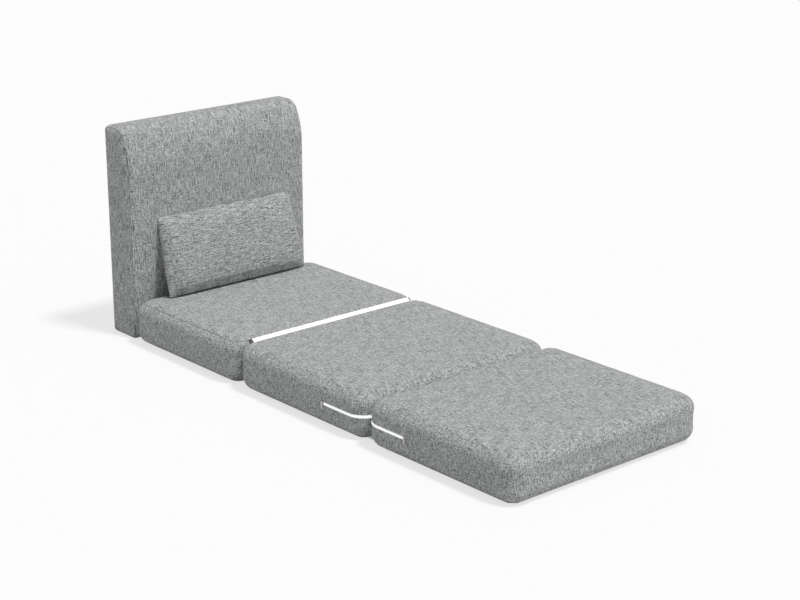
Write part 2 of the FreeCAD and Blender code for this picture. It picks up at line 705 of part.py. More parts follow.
def build():
    """Build every sub-part."""
    half_x = f"({size('cushion_width')} / 2)"
    seat_rear = f"({size('seat_length')} / 2)"
    middle_rear = f"(-{seat_rear} - {size('cushion_gap')})"
    middle_front = f"({middle_rear} - {size('middle_length')})"
    foot_rear = f"({middle_front} - {size('cushion_gap')})"
    zip_low = f"{size('zip_height')} - {size('zip_width')} / 2"
    zip_high = f"{size('zip_height')} + {size('zip_width')} / 2"
    reach = size("zip_side_reach")
    zip_half = f"({half_x} - {size('seat_zip_margin')})"
    backrest_zip_half = f"({size('backrest_width')} / 2 - {size('backrest_zip_margin')})"
    backrest()
    cushion(
        "seat", size("seat_length"), "0",
        (f"-{zip_half}", "0", zip_low), (zip_half, seat_rear, zip_high),
    )
    cushion(
        "middle", size("middle_length"), f"({middle_rear} - {size('middle_length')} / 2)",
        (f"-{half_x}", middle_front, zip_low), (half_x, f"{middle_front} + {reach}", zip_high),
    )
    cushion(
        "foot", size("foot_length"), f"({foot_rear} - {size('foot_length')} / 2)",
        (f"-{half_x}", f"{foot_rear} - {reach}", zip_low), (half_x, foot_rear, zip_high),
    )
    strips()
    pillow()
    proud = f"({size('zip_proud')} - {size('side_draw')})"
    side_x = f"(-{half_x} - {proud})"
    half_slider = f"{size('slider_length')} / 2"
    facing_side = FreeCAD.Rotation(
        FreeCAD.Vector(0, -1, 0), FreeCAD.Vector(0, 0, 1), FreeCAD.Vector(-1, 0, 0), "XYZ",
    )
    facing_rear = FreeCAD.Rotation(
        FreeCAD.Vector(-1, 0, 0), FreeCAD.Vector(0, 0, 1), FreeCAD.Vector(0, 1, 0), "XYZ",
    )
    rear_face = f"({backrest_front()} + {size('backrest_thickness')} + {size('zip_proud')})"
    sliders = (
        ("backrest", f"(-{backrest_zip_half} + {half_slider})", rear_face, facing_rear),
        ("seat", f"(-{zip_half} + {half_slider})", f"({seat_rear} + {proud})", facing_rear),
        ("middle", side_x, f"({middle_front} + {reach} - {half_slider})", facing_side),
        ("foot", side_x, f"({foot_rear} - {reach} + {half_slider})", facing_side),
    )
    for name, x, y, rotation in sliders:
        slider(f"{name}_zip_slider", x, y, rotation)
        pull(f"{name}_zip_pull", x, y, rotation)


def check_and_write():
    """Recompute, stop on any failed object or shape, and write each sub-part."""
    document.recompute()
    for obj in document.Objects:
        if "Invalid" in obj.State or "Error" in obj.State:
            raise RuntimeError(f"{obj.Label} failed: {obj.State}")
    for node in NODES:
        if node.Shape.isNull() or not node.Shape.isValid():
            raise RuntimeError(f"{node.Label} has no valid shape")
    os.makedirs("parts", exist_ok=True)
    for node in NODES:
        node.Shape.exportStep(f"parts/{node.Label}.step")
        bounds = node.Shape.BoundBox
        print(f"{node.Label}: {len(node.Shape.Solids)} solid, {node.Shape.Volume / 1000:.1f} cm3,"
              f" x {bounds.XMin:.1f} {bounds.XMax:.1f} y {bounds.YMin:.1f} {bounds.YMax:.1f}"
              f" z {bounds.ZMin:.1f} {bounds.ZMax:.1f}")


build()
check_and_write()
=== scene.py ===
import logging
import math
from dataclasses import dataclass, field
from enum import Enum
from typing import Callable, Iterable, Sequence

import bpy
import numpy as np
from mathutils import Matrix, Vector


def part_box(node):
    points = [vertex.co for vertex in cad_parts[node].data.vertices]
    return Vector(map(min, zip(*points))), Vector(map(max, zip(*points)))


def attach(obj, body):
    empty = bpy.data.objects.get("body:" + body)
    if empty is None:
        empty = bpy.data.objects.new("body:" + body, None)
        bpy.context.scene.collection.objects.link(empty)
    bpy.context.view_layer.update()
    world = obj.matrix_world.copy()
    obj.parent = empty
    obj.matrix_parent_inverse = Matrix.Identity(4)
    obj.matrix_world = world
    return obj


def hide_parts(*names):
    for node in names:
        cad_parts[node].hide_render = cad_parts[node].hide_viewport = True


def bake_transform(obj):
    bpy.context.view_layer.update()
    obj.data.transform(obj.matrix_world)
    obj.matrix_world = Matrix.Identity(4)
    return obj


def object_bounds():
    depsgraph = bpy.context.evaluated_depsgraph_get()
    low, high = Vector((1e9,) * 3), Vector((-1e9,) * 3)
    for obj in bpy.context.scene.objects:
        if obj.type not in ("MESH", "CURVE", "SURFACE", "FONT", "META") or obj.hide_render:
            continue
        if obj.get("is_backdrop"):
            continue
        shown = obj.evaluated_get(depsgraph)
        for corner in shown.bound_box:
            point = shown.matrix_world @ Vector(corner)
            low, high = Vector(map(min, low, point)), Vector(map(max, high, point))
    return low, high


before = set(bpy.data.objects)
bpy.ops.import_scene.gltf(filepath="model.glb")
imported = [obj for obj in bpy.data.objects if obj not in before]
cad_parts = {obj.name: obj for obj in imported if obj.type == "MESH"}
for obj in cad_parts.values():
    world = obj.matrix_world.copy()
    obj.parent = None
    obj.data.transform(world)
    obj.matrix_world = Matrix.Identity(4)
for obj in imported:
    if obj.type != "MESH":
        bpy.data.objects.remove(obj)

# Convertible chair bed: a backrest, three hinged foam cushions and a loose lumbar pillow.
# Lengths are in metres, in the row frame: X across the bed, Y towards the backrest, Z up.

Array = np.ndarray
Material = bpy.types.Material
Thing = bpy.types.Object

MM = 0.001
TINY = 1e-9
CLOTH = "cloth"
SHARP_TURN = math.radians(50)
FLOOR_GAP = 0.2 * MM
SEAM_SINK = 0.5 * MM
# Tint of the painted glow: an emission that makes the white webbing, zip tape and zip coil look brighter
# than the lamps light them.
PAINTED_GLOW_TINT = (0.96, 0.98, 1.0, 1.0)
WHITE = (1.0, 1.0, 1.0, 1.0)
# Each noise of the weave lies on a layer of its own.
WEFT, WARP_SLUB, WEFT_SLUB, GRAIN, PATCH = 7.0, 3.0, 5.0, 9.0, 2.0
log = logging.getLogger("chair_bed")


class Slot(Enum):
    """Material slot names, which dress takes but does not use."""

    GREY_FABRIC = "grey_fabric"
    PILLOW_FABRIC = "pillow_fabric"
    CUSHION_FOAM = "cushion_foam"
    PILLOW_FIBRE = "pillow_fibre"
    WHITE_WEBBING = "white_webbing"
    ZIP_COIL = "zip_coil"
    SLIDER_METAL = "slider_metal"


class Panel(Enum):
    """The three sewn panels of a padded block, counted along its own axis."""

    LOW = "low"
    BORDER = "border"
    HIGH = "high"


class Wire:
    """A shader socket that Python's operators work on; each operator adds a Math node."""

    def __init__(self, kit: "NodeKit", socket: bpy.types.NodeSocket) -> None:
        self.kit = kit
        self.socket = socket

    def math(self, operation: str, *others: "Wire | float") -> "Wire":
        """Add a Math node whose first value is this socket."""
        values = dict(enumerate((self, *others)))
        return self.kit.add("ShaderNodeMath", {"operation": operation}, values)

    def out(self, name: str) -> "Wire":
        """Give another output of the same node."""
        return Wire(self.kit, self.socket.node.outputs[name])

    def __add__(self, other: "Wire | float") -> "Wire":
        """Add."""
        return self.math("ADD", other)

    def __sub__(self, other: "Wire | float") -> "Wire":
        """Subtract."""
        return self.math("SUBTRACT", other)

    def __rsub__(self, other: float) -> "Wire":
        """Subtract from a number."""
        return self.kit.add("ShaderNodeMath", {"operation": "SUBTRACT"}, {0: other, 1: self})

    def __mul__(self, other: "Wire | float") -> "Wire":
        """Multiply."""
        return self.math("MULTIPLY", other)

    def __truediv__(self, other: "Wire | float") -> "Wire":
        """Divide."""
        return self.math("DIVIDE", other)

    __radd__ = __add__
    __rmul__ = __mul__

    def clamped(self) -> "Wire":
        """Keep the value between 0 and 1."""
        return self.math("MINIMUM", 1.0).math("MAXIMUM", 0.0)

    def sine(self) -> "Wire":
        """Take the sine of an angle in radians."""
        return self.math("SINE")


class NodeKit:
    """Builds the nodes of one material or world."""

    def __init__(self, owner: Material | bpy.types.World) -> None:
        """Empty the owner's nodes."""
        owner.use_nodes = True
        self.owner = owner
        self.tree = owner.node_tree
        self.tree.nodes.clear()

    @classmethod
    def material(cls, name: str) -> "NodeKit":
        """Start a new material."""
        return cls(bpy.data.materials.new(name))

    def add(self, kind: str, settings: dict | None = None, sockets: dict | None = None) -> Wire:
        """Add a node.

        Args:
            kind: the node's type.
            settings: its properties, set first.
            sockets: values or links by socket name or number.

        Returns:
            The node's first output that is in use.
        """
        node = self.tree.nodes.new(kind)
        for key, value in (settings or {}).items():
            setattr(node, key, value)
        for key, value in (sockets or {}).items():
            if isinstance(value, Wire):
                self.tree.links.new(value.socket, node.inputs[key])
            else:
                node.inputs[key].default_value = value
        outputs = [output for output in node.outputs if output.enabled]
        return Wire(self, (outputs or [node.inputs[0]])[0])

    def place(self) -> Wire:
        """Give the place on the object."""
        return self.add("ShaderNodeTexCoord").out("Object")

    def noise(self, vector: Wire, scale: float, detail: float = 2.0) -> Wire:
        """Add a Noise Texture and give its value."""
        sockets = {"Vector": vector, "Scale": scale, "Detail": detail}
        return self.add("ShaderNodeTexNoise", {"noise_dimensions": "3D"}, sockets)

    def vector(self, first: Wire | float, second: Wire | float, third: float = 0.0) -> Wire:
        """Join three values into a vector."""
        return self.add("ShaderNodeCombineXYZ", None, {0: first, 1: second, 2: third})

    def blend(self, share: Wire, low: Sequence[float], high: Sequence[float]) -> Wire:
        """Mix two colours by a share."""
        sockets = {0: share, 6: (*low, 1.0), 7: (*high, 1.0)}
        return self.add("ShaderNodeMix", {"data_type": "RGBA"}, sockets)

    def bump(self, height: Wire, strength: float, relief: float, sunken: bool = False) -> Wire:
        """Turn a height into a bumped normal; sunken turns the height upside down."""
        sockets = {"Strength": strength, "Distance": relief, "Height": height}
        return self.add("ShaderNodeBump", {"invert": sunken}, sockets)

    def seen_by_camera(self) -> Wire:
        """Find what the camera sees straight, in a mirror or through glass.

        Returns:
            A value of 1 where it does, and 0 elsewhere.
        """
        rays = self.add("ShaderNodeLightPath")
        seen = rays.out("Is Camera Ray").math("MAXIMUM", rays.out("Is Glossy Ray"))
        return seen.math("MAXIMUM", rays.out("Is Transmission Ray"))

    def finish(self, shader: Wire, output: str = "ShaderNodeOutputMaterial") -> bpy.types.ID:
        """Link the shader to the output and give the material or world."""
        self.add(output, None, {"Surface": shader})
        return self.owner

    def finish_surface(self, sockets: dict) -> Material:
        """Finish with a Principled surface and give the material."""
        return self.finish(self.add("ShaderNodeBsdfPrincipled", None, sockets))


@dataclass(frozen=True)
class LinenFinish:
    """A melange linen weave drawn in the cloth's own coordinates, as dyed and plain yarns cross.

    The lead is the share of the look that the lengthwise yarns take, from 0 to 1. The third cloth
    coordinate evens it out to a half where the cloth turns over an edge. The depths say how much
    the yarns, their thick places, the grain and the patches change the tone.
    """

    name: str
    lead: float = 0.5
    dark: tuple[float, float, float] = (0.030, 0.033, 0.038)
    light: tuple[float, float, float] = (0.810, 0.826, 0.824)
    yarn: float = 1.5 * MM
    dye_run: float = 11 * MM
    slub: float = 2.6 * MM
    slub_run: float = 34 * MM
    grain: float = 3.4 * MM
    patch: float = 60 * MM
    middle: float = 0.5
    yarn_depth: float = 2.3
    slub_depth: float = 0.9
    grain_depth: float = 1.1
    patch_depth: float = 0.14
    crossing: float = 2.0
    lead_gain: float = 1.2
    crossing_relief: float = 0.6
    yarn_relief: float = 0.7
    slub_relief: float = 0.5
    relief: float = 0.9 * MM
    roughness: float = 0.98
    gloss: float = 0.15
    sheen: float = 0.12

    def material(self) -> Material:
        """Build the fabric.

        Returns:
            The material.
        """
        kit = NodeKit.material(self.name)
        cloth = kit.add("ShaderNodeAttribute", {"attribute_name": CLOTH}).out("Vector")
        across = kit.add("ShaderNodeSeparateXYZ", None, {0: cloth})
        along = across.out("Y")
        lead = self.lead + across.out("Z") * (0.5 - self.lead)
        wave = math.pi / self.yarn
        over = (across * wave).sine() * (along * wave).sine()
        top = (over * self.crossing + lead * self.lead_gain - (self.lead_gain - 1) / 2).clamped()
        yarn, run, slub, slub_run = self.yarn, self.dye_run, self.slub, self.slub_run
        warp = kit.noise(kit.vector(across / yarn, along / run), 1.0)
        weft = kit.noise(kit.vector(across / run, along / yarn, WEFT), 1.0)
        warp_slub = kit.noise(kit.vector(across / slub, along / slub_run, WARP_SLUB), 1.0, 1.0)
        weft_slub = kit.noise(kit.vector(across / slub_run, along / slub, WEFT_SLUB), 1.0, 1.0)
        grain = kit.noise(kit.vector(across / self.grain, along / self.grain, GRAIN), 1.0, 1.0)
        patch = kit.noise(kit.vector(across, along, PATCH), 1 / self.patch)
        yarns = warp * top + weft * (1 - top)
        slubs = (warp_slub - 0.5) * lead * 2 + (weft_slub - 0.5) * (1 - lead) * 2
        tone = (yarns - 0.5) * self.yarn_depth + slubs * self.slub_depth
        tone = tone + (grain - 0.5) * self.grain_depth + (patch - 0.5) * self.patch_depth
        tone = (tone + self.middle).clamped()
        height = over * over * self.crossing_relief + yarns * self.yarn_relief + slubs * self.slub_relief
        return kit.finish_surface({
            "Base Color": kit.blend(tone, self.dark, self.light),
            "Roughness": self.roughness - tone * self.gloss,
            "Specular IOR Level": self.gloss,
            "Sheen Weight": self.sheen,
            "Sheen Roughness": 0.6,
            "Normal": kit.bump(height, 0.5, self.relief),
        })


@dataclass(frozen=True)
class WebbingFinish:
    """Plain pale webbing with a fine twill; a painted glow, an emission, makes it look brighter than the
    lamps light it.
    """

    name: str
    pale: tuple[float, float, float] = (0.98, 0.98, 0.98)
    shade: tuple[float, float, float] = (0.90, 0.90, 0.91)
    rib: float = 1.1 * MM
    lean: float = 0.6
    speckle: float = 900.0
    twill_depth: float = 0.5
    speckle_depth: float = 0.7
    roughness: float = 0.75
    painted_glow: float = 0.2

    def material(self) -> Material:
        """Build the webbing.

        Returns:
            The material.
        """
        kit = NodeKit.material(self.name)
        place = kit.place()
        split = kit.add("ShaderNodeSeparateXYZ", None, {0: place})
        twill = ((split + split.out("Y") * self.lean) * (2 * math.pi / self.rib)).sine() * 0.5 + 0.5
        speckle = kit.noise(place, self.speckle, 1.0)
        tone = (twill * self.twill_depth + speckle * self.speckle_depth).clamped()
        return kit.finish_surface({
            "Base Color": kit.blend(tone, self.shade, self.pale),
            "Roughness": self.roughness + speckle * 0.1,
            "Sheen Weight": 0.1,
            # Painted glow: emission that lights the webbing beyond what the lamps give.
            "Emission Color": PAINTED_GLOW_TINT,
            "Emission Strength": self.painted_glow,
            "Normal": kit.bump(twill, 0.35, 0.3 * MM),
        })


@dataclass(frozen=True)
class SpeckledFinish:
    """A plain surface whose colour and roughness wander a little: nylon, plated zinc or thread. Its painted
    glow is an emission that makes a white part look brighter than the lamps light it.
    """

    name: str
    low: tuple[float, float, float]
    high: tuple[float, float, float]
    roughness: float
    metallic: float = 0.0
    speckle: float = 700.0
    wander: float = 0.3
    painted_glow: float = 0.0

    def material(self) -> Material:
        """Build the surface.

        Returns:
            The material.
        """
        kit = NodeKit.material(self.name)
        wander = kit.noise(kit.place(), self.speckle, 3.0)
        return kit.finish_surface({
            "Base Color": kit.blend((wander * 2.0 - 0.5).clamped(), self.low, self.high),
            "Roughness": (wander * self.wander + (self.roughness - self.wander / 2)).clamped(),
            "Metallic": self.metallic,
            # Painted glow: emission that lights the surface beyond what the lamps give.
            "Emission Color": PAINTED_GLOW_TINT,
            "Emission Strength": self.painted_glow,
            "Normal": kit.bump(wander, 0.3, 0.2 * MM),
        })


@dataclass(frozen=True)
class FoamFinish:
    """Open-cell foam, or loose fibre, as a cell pattern; the deep parts of the pattern are painted darker,
    as painted shade in the pores.
    """

    name: str
    wall: tuple[float, float, float]
    cell: tuple[float, float, float]
    cells: float = 650.0

    def material(self) -> Material:
        """Build the foam.

        Returns:
            The material.
        """
        kit = NodeKit.material(self.name)
        pores = kit.add("ShaderNodeTexVoronoi", None, {"Vector": kit.place(), "Scale": self.cells})
        depth = (pores * 1.4).clamped()
        return kit.finish_surface({
            # Painted shade: colour goes from the wall colour to the darker cell colour as the pattern sinks.
            "Base Color": kit.blend(depth, self.wall, self.cell),
            "Roughness": 0.95 - depth * 0.1,
            "Normal": kit.bump(depth, 0.6, 0.6 * MM, sunken=True),
        })


@dataclass(frozen=True)
class FloorFinish:
    """A pale floor that the camera sees as nearly white, with the object's shadow kept."""

    name: str = "pale_floor"
    pale: float = 0.98
    bounce: float = 0.72
    shadow_share: float = 0.3

    def material(self) -> Material:
        """Build the floor's material.

        Returns:
            The material.
        """
        kit = NodeKit.material(self.name)
        seen = kit.seen_by_camera()
        matt, pale = (
            kit.add("ShaderNodeBsdfDiffuse", None, {"Color": (level, level, level, 1.0)})
            for level in (self.bounce, self.pale)
        )
        bright = kit.add("ShaderNodeEmission", None, {"Strength": 1.0})
        shown = kit.add("ShaderNodeMixShader", None, {0: self.shadow_share, 1: bright, 2: pale})
        return kit.finish(kit.add("ShaderNodeMixShader", None, {0: seen, 1: matt, 2: shown}))


class Finishes:
    """Every material of the object, made once."""

    def __init__(self) -> None:
        """Make them all."""
        border = LinenFinish("border_melange_linen", lead=0.6, dye_run=8 * MM, slub_run=22 * MM)
        self.fabric = LinenFinish("grey_melange_linen").material()
        self.upright = LinenFinish("upright_melange_linen", lead=0.68).material()
        self.border = border.material()
        self.pillow = LinenFinish("pillow_melange_linen", lead=0.32, middle=0.475).material()
        # The webbing and the zip tape keep the default painted glow.
        self.webbing = WebbingFinish("white_webbing").material()
        self.tape = WebbingFinish("zip_tape", (0.95, 0.95, 0.96), (0.80, 0.80, 0.81)).material()
        # The zip coil gets a stronger painted glow, so that it stays white on the shaded side.
        coil = SpeckledFinish("nylon_coil", (0.94, 0.94, 0.95), (0.98, 0.98, 0.98), 0.4, painted_glow=0.5)
        self.coil = coil.material()
        zinc = SpeckledFinish("plated_zinc", (0.42, 0.42, 0.43), (0.62, 0.62, 0.63), 0.35, metallic=1.0)
        self.metal = zinc.material()
        grey, dark = (0.24, 0.24, 0.25), (0.06, 0.06, 0.07)
        self.thread = SpeckledFinish("grey_thread", grey, (0.38, 0.38, 0.39), 0.7).material()
        self.dark_thread = SpeckledFinish("dark_thread", dark, (0.15, 0.15, 0.16), 0.7).material()
        self.foam = FoamFinish("cushion_foam", (0.86, 0.83, 0.72), (0.60, 0.56, 0.45)).material()
        fibre = FoamFinish("pillow_fibre", (0.90, 0.90, 0.89), (0.74, 0.74, 0.73), 320.0)
        self.fibre = fibre.material()


def mesh_object(
    name: str, points: Array, faces: Iterable[Sequence[int]], material: Material, cloth: Array | None = None,
) -> Thing:
    """Make a smooth mesh object.

    Args:
        name: the piece's name.
        points: its vertices.
        faces: its faces, as vertex numbers.
        material: its finish.
        cloth: the cloth coordinates of its vertices, in metres.

    Returns:
        The object, linked to the scene.
    """
    mesh = bpy.data.meshes.new(name)
    mesh.from_pydata(points.tolist(), [], [list(map(int, face)) for face in faces])
    mesh.polygons.foreach_set("use_smooth", np.ones(len(mesh.polygons), bool))
    if cloth is not None:
        attribute = mesh.attributes.new(CLOTH, "FLOAT_VECTOR", "POINT")
        flat = np.zeros((len(points), 3), np.float32)
        flat[:, :cloth.shape[1]] = cloth
        attribute.data.foreach_set("vector", flat.ravel())
    mesh.materials.append(material)
    mesh.update()
    obj = bpy.data.objects.new(name, mesh)
    bpy.context.scene.collection.objects.link(obj)
    return obj


def dress(
    obj: Thing, body: str, slot: Slot, replaced: Sequence[str] = (),
) -> None:
    """Ride a piece on its body and hide the CAD nodes that it stands for.

    Args:
        obj: the piece.
        body: the body that it rides on.
        slot: the record's material slot; not used.
        replaced: the CAD nodes that it stands for.
    """
    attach(obj, body)
    if replaced:
        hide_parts(*replaced)
    log.info("%s rides on %s, %d vertices", obj.name, body, len(obj.data.vertices))


def apply_modifiers(obj: Thing) -> None:
    """Replace an object's mesh with what its modifiers make of it.

    Args:
        obj: the object.
    """
    graph = bpy.context.evaluated_depsgraph_get()
    made = bpy.data.meshes.new_from_object(obj.evaluated_get(graph), depsgraph=graph)
    made.name = obj.name
    obj.modifiers.clear()
    obj.data = made


def thicken(obj: Thing, thickness: float) -> None:
    """Give an open panel a thickness inwards, as a closed mesh.

    Args:
        obj: the panel.
        thickness: its thickness.
    """
    modifier = obj.modifiers.new("thickness", "SOLIDIFY")
    modifier.thickness = thickness
    modifier.offset = -1.0
    modifier.use_rim = True
    apply_modifiers(obj)
    obj.data.set_sharp_from_angle(angle=SHARP_TURN)


def unit(vectors: Array) -> Array:
    """Scale vectors to a length of one."""
    return vectors / np.maximum(np.linalg.norm(vectors, axis=-1, keepdims=True), TINY)


def tube(stations: int, ring: int) -> list[tuple[int, ...]]:
    """Join rings of points, station after station, into a tube without ends.

    Args:
        stations: how many rings there are.
        ring: how many points each has.

    Returns:
        The quads.
    """
    return [
        (s * ring + k, s * ring + (k + 1) % ring, (s + 1) * ring + (k + 1) % ring, (s + 1) * ring + k)
        for s in range(stations - 1) for k in range(ring)
    ]


def tube_ends(stations: int, ring: int) -> list[tuple[int, ...]]:
    """Close the two ends of a tube with one face each."""
    return [tuple(range(ring))[::-1], tuple(range((stations - 1) * ring, stations * ring))]


def vertex_normals(points: Array, faces: Array) -> Array:
    """Average the face normals at each vertex of a quad mesh.

    Args:
        points: its vertices.
        faces: its quads.

    Returns:
        The unit normals.
    """
    corner = points[faces]
    face_normal = np.cross(corner[:, 2] - corner[:, 0], corner[:, 3] - corner[:, 1])
    total = np.zeros_like(points)
    for place in range(4):
        np.add.at(total, faces[:, place], face_normal)
    return unit(total)


def spread_evenly(values: Array, faces: Array, rounds: int) -> Array:
    """Average each vertex's value with its neighbours' on a quad mesh.

    Args:
        values: the vertices' values.
        faces: the quads.
        rounds: how many times over.

    Returns:
        The smoothed values.
    """
    for _ in range(rounds):
        total = np.zeros_like(values)
        share = np.zeros((len(values), 1))
        for place in range(4):
            here, after = faces[:, place], faces[:, (place + 1) % 4]
            np.add.at(total, here, values[after])
            np.add.at(share, here, 1.0)
        values = (values + total / np.maximum(share, 1.0)) / 2
    return values


def keep_in_box(points: Array, low: Sequence[float], high: Sequence[float], room: Array) -> Array:
    """Bring points into a box, and above the floor.

    Args:
        points: the points.
        low: the box's low corner.
        high: its high corner.
        room: how far they may stand out of it on each axis.

    Returns:
        The points within it.
    """
    least, most = np.array(low) - room, np.array(high) + room
    least[2] = FLOOR_GAP
    return np.clip(points, least, most)


@dataclass(frozen=True)
class Stuffing:
    """How a closed cover swells over its filling, by a short cloth simulation."""

    pressure: float = 4.0
    stiffness: float = 25.0
    shear_share: float = 0.6
    bending: float = 3.0
    mass: float = 0.3
    damping: float = 3.0
    quality: int = 4
    frames: int = 20
    rise: float = 1.4 * MM
    sink: float = 0.9 * MM
    slide: float = 0.6 * MM
    smoothing: int = 60

    def swell(self, points: Array, faces: Array) -> Array:
        """Simulate the cover and give where its points settle, within the rise, sink and slide.

        Args:
            points: the closed cover's vertices.
            faces: its quads.

        Returns:
            The settled vertices.
        """
        moved = spread_evenly(self._simulated(points, faces) - points, faces, self.smoothing)
        outward = vertex_normals(points, faces)
        rise = (moved * outward).sum(1, keepdims=True)
        slide = moved - outward * rise
        length = np.linalg.norm(slide, axis=1, keepdims=True)
        slide *= np.minimum(1.0, self.slide / np.maximum(length, TINY))
        return points + outward * np.clip(rise, -self.sink, self.rise) + slide

    def _simulated(self, points: Array, faces: Array) -> Array:
        """Run the cloth simulation on a mesh of its own and take the mesh away again.

        Args:
            points: the closed cover's vertices.
            faces: its quads.

        Returns:
            The simulated vertices.
        """
        mesh = bpy.data.meshes.new("swelling")
        mesh.from_pydata(points.tolist(), [], faces.tolist())
        obj = bpy.data.objects.new("swelling", mesh)
        bpy.context.scene.collection.objects.link(obj)
        modifier = obj.modifiers.new("cloth", "CLOTH")
        cloth = modifier.settings
        cloth.quality = self.quality
        cloth.mass = self.mass
        cloth.tension_stiffness = self.stiffness
        cloth.compression_stiffness = self.stiffness
        cloth.shear_stiffness = self.stiffness * self.shear_share
        cloth.bending_stiffness = self.bending
        cloth.air_damping = self.damping
        cloth.use_pressure = True
        cloth.uniform_pressure_force = self.pressure
        cloth.effector_weights.gravity = 0.0
        modifier.point_cache.frame_start = 1
        modifier.point_cache.frame_end = self.frames
        for step in range(1, self.frames + 1):
            bpy.context.scene.frame_set(step)
        evaluated = obj.evaluated_get(bpy.context.evaluated_depsgraph_get())
        settled = np.empty(len(points) * 3)
        evaluated.data.vertices.foreach_get("co", settled)
        bpy.context.scene.frame_set(1)
        bpy.data.objects.remove(obj)
        bpy.data.meshes.remove(mesh)
        return settled.reshape(-1, 3)


@dataclass(frozen=True)
class Arc:
    """A rounded corner of an outline, and the straight run that follows it, counter-clockwise."""

    centre: tuple[float, float]
    radius: float
    start: float
    end: float
    steps: int
    run_steps: int
    edge: float
    corner_step: int | None = None


class Outline:
    """A closed outline of arcs and straight runs, as core points, outward normals and radii."""

    def __init__(self, arcs: Sequence[Arc]) -> None:
        """Step round the arcs and note where the four sides of a cap meet.

        Args:
            arcs: the outline's arcs in order; each one's edge is the edge radius of its run.
        """
        core, angle, radius, edge, self.corners = [], [], [], [], []
        for number, arc in enumerate(arcs):
            before = arcs[number - 1]
            after = arcs[(number + 1) % len(arcs)]
            last = arc.steps + (1 if arc.run_steps else 0)
            for step in range(last):
                share = step / arc.steps
                if step == arc.corner_step:
                    self.corners.append(len(core))
                core.append(arc.centre)
                angle.append(arc.start + (arc.end - arc.start) * share)
                radius.append(arc.radius)
                ease = share * share * (3 - 2 * share)
                edge.append(before.edge + (arc.edge - before.edge) * ease)
            for step in range(1, arc.run_steps):
                share = step / arc.run_steps
                core.append(tuple(a + (b - a) * share for a, b in zip(arc.centre, after.centre)))
                angle.append(arc.end)
                radius.append(arc.radius + (after.radius - arc.radius) * share)
                edge.append(arc.edge)
        turn = np.radians(np.array(angle))
        self.core = np.array(core)
        self.normal = np.column_stack((np.cos(turn), np.sin(turn)))
        self.radius = np.array(radius)
        self.edge = np.array(edge)
        self.count = len(core)

    def at(self, inset: Array | float) -> Array:
        """Give the outline drawn in by an inset."""
        return self.core + (self.radius - inset)[:, None] * self.normal

    def distance_along(self) -> Array:
        """Measure along the outline.

        Returns:
            Each column's distance from the first, and the whole length last.
        """
        points = self.at(0.0)
        steps = np.linalg.norm(np.roll(points, -1, axis=0) - points, axis=1)
        return np.concatenate(([0.0], np.cumsum(steps)))


def rounded_rectangle(
    half_p: float, half_q: float, radius: float, edges: Sequence[float], cell: float = 10 * MM,
    arc_steps: int = 8,
) -> Outline:
    """Outline a rounded rectangle.

    Args:
        half_p: half its size along the first axis.
        half_q: half its size along the second axis.
        radius: its corner radius.
        edges: the edge radii of its sides facing +q, -p, -q and +p.
        cell: the length of one step on a straight side.
        arc_steps: the steps in each corner, an even number.

    Returns:
        The outline.
    """
    in_p, in_q = half_p - radius, half_q - radius
    centres = ((in_p, in_q), (-in_p, in_q), (-in_p, -in_q), (in_p, -in_q))
    across, along = round(2 * in_p / cell), round(2 * in_q / cell)
    return Outline([
        Arc(centre, radius, 90 * turn, 90 * turn + 90, arc_steps, run, edge, arc_steps // 2)
        for turn, (centre, run, edge) in enumerate(zip(centres, (across, along) * 2, edges))
    ])


@dataclass
class Cap:
    """The flat end of a padded block: how its edge rounds over and where its seam runs."""

    level: float
    edge: Array
    angles: Sequence[float]
    seam: int
    crown: float = 0.0
    crown_reach: float = 130 * MM

    def rounding(self, up: int) -> list[tuple[Array, Array, Array]]:
        """Give the rings over the rounded edge, the lowest first.

        Args:
            up: 1 where the block goes up from the cap, and -1 where it goes down.

        Returns:
            The inset, the height and the unrolled cloth's inset of each ring.
        """
        rings = []
        for angle in self.angles:
            turn = math.radians(angle)
            height = self.level + up * self.edge * (1 - math.sin(turn))
            unrolled = self.edge * (1 - math.radians(90 - angle))
            rings.append((self.edge * (1 - math.cos(turn)), height, unrolled))
        return rings[::up]


def tuck(edge: Array, near: Array, outward: Array, fold: float) -> tuple[Array, Array]:
    """Draw a panel's edge back from its seam and turn it in.

    Args:
        edge: the points on the seam.
        near: the panel's points beside them.
        outward: the surface's normals at the seam.
        fold: how deep the edge is turned in.

    Returns:
        The drawn-back edge and the turned-in one.
    """
    draw_back, lip = 0.45, 0.1
    inward = unit(near - edge)
    return edge + inward * (draw_back * fold), edge + inward * (lip * fold) - outward * fold


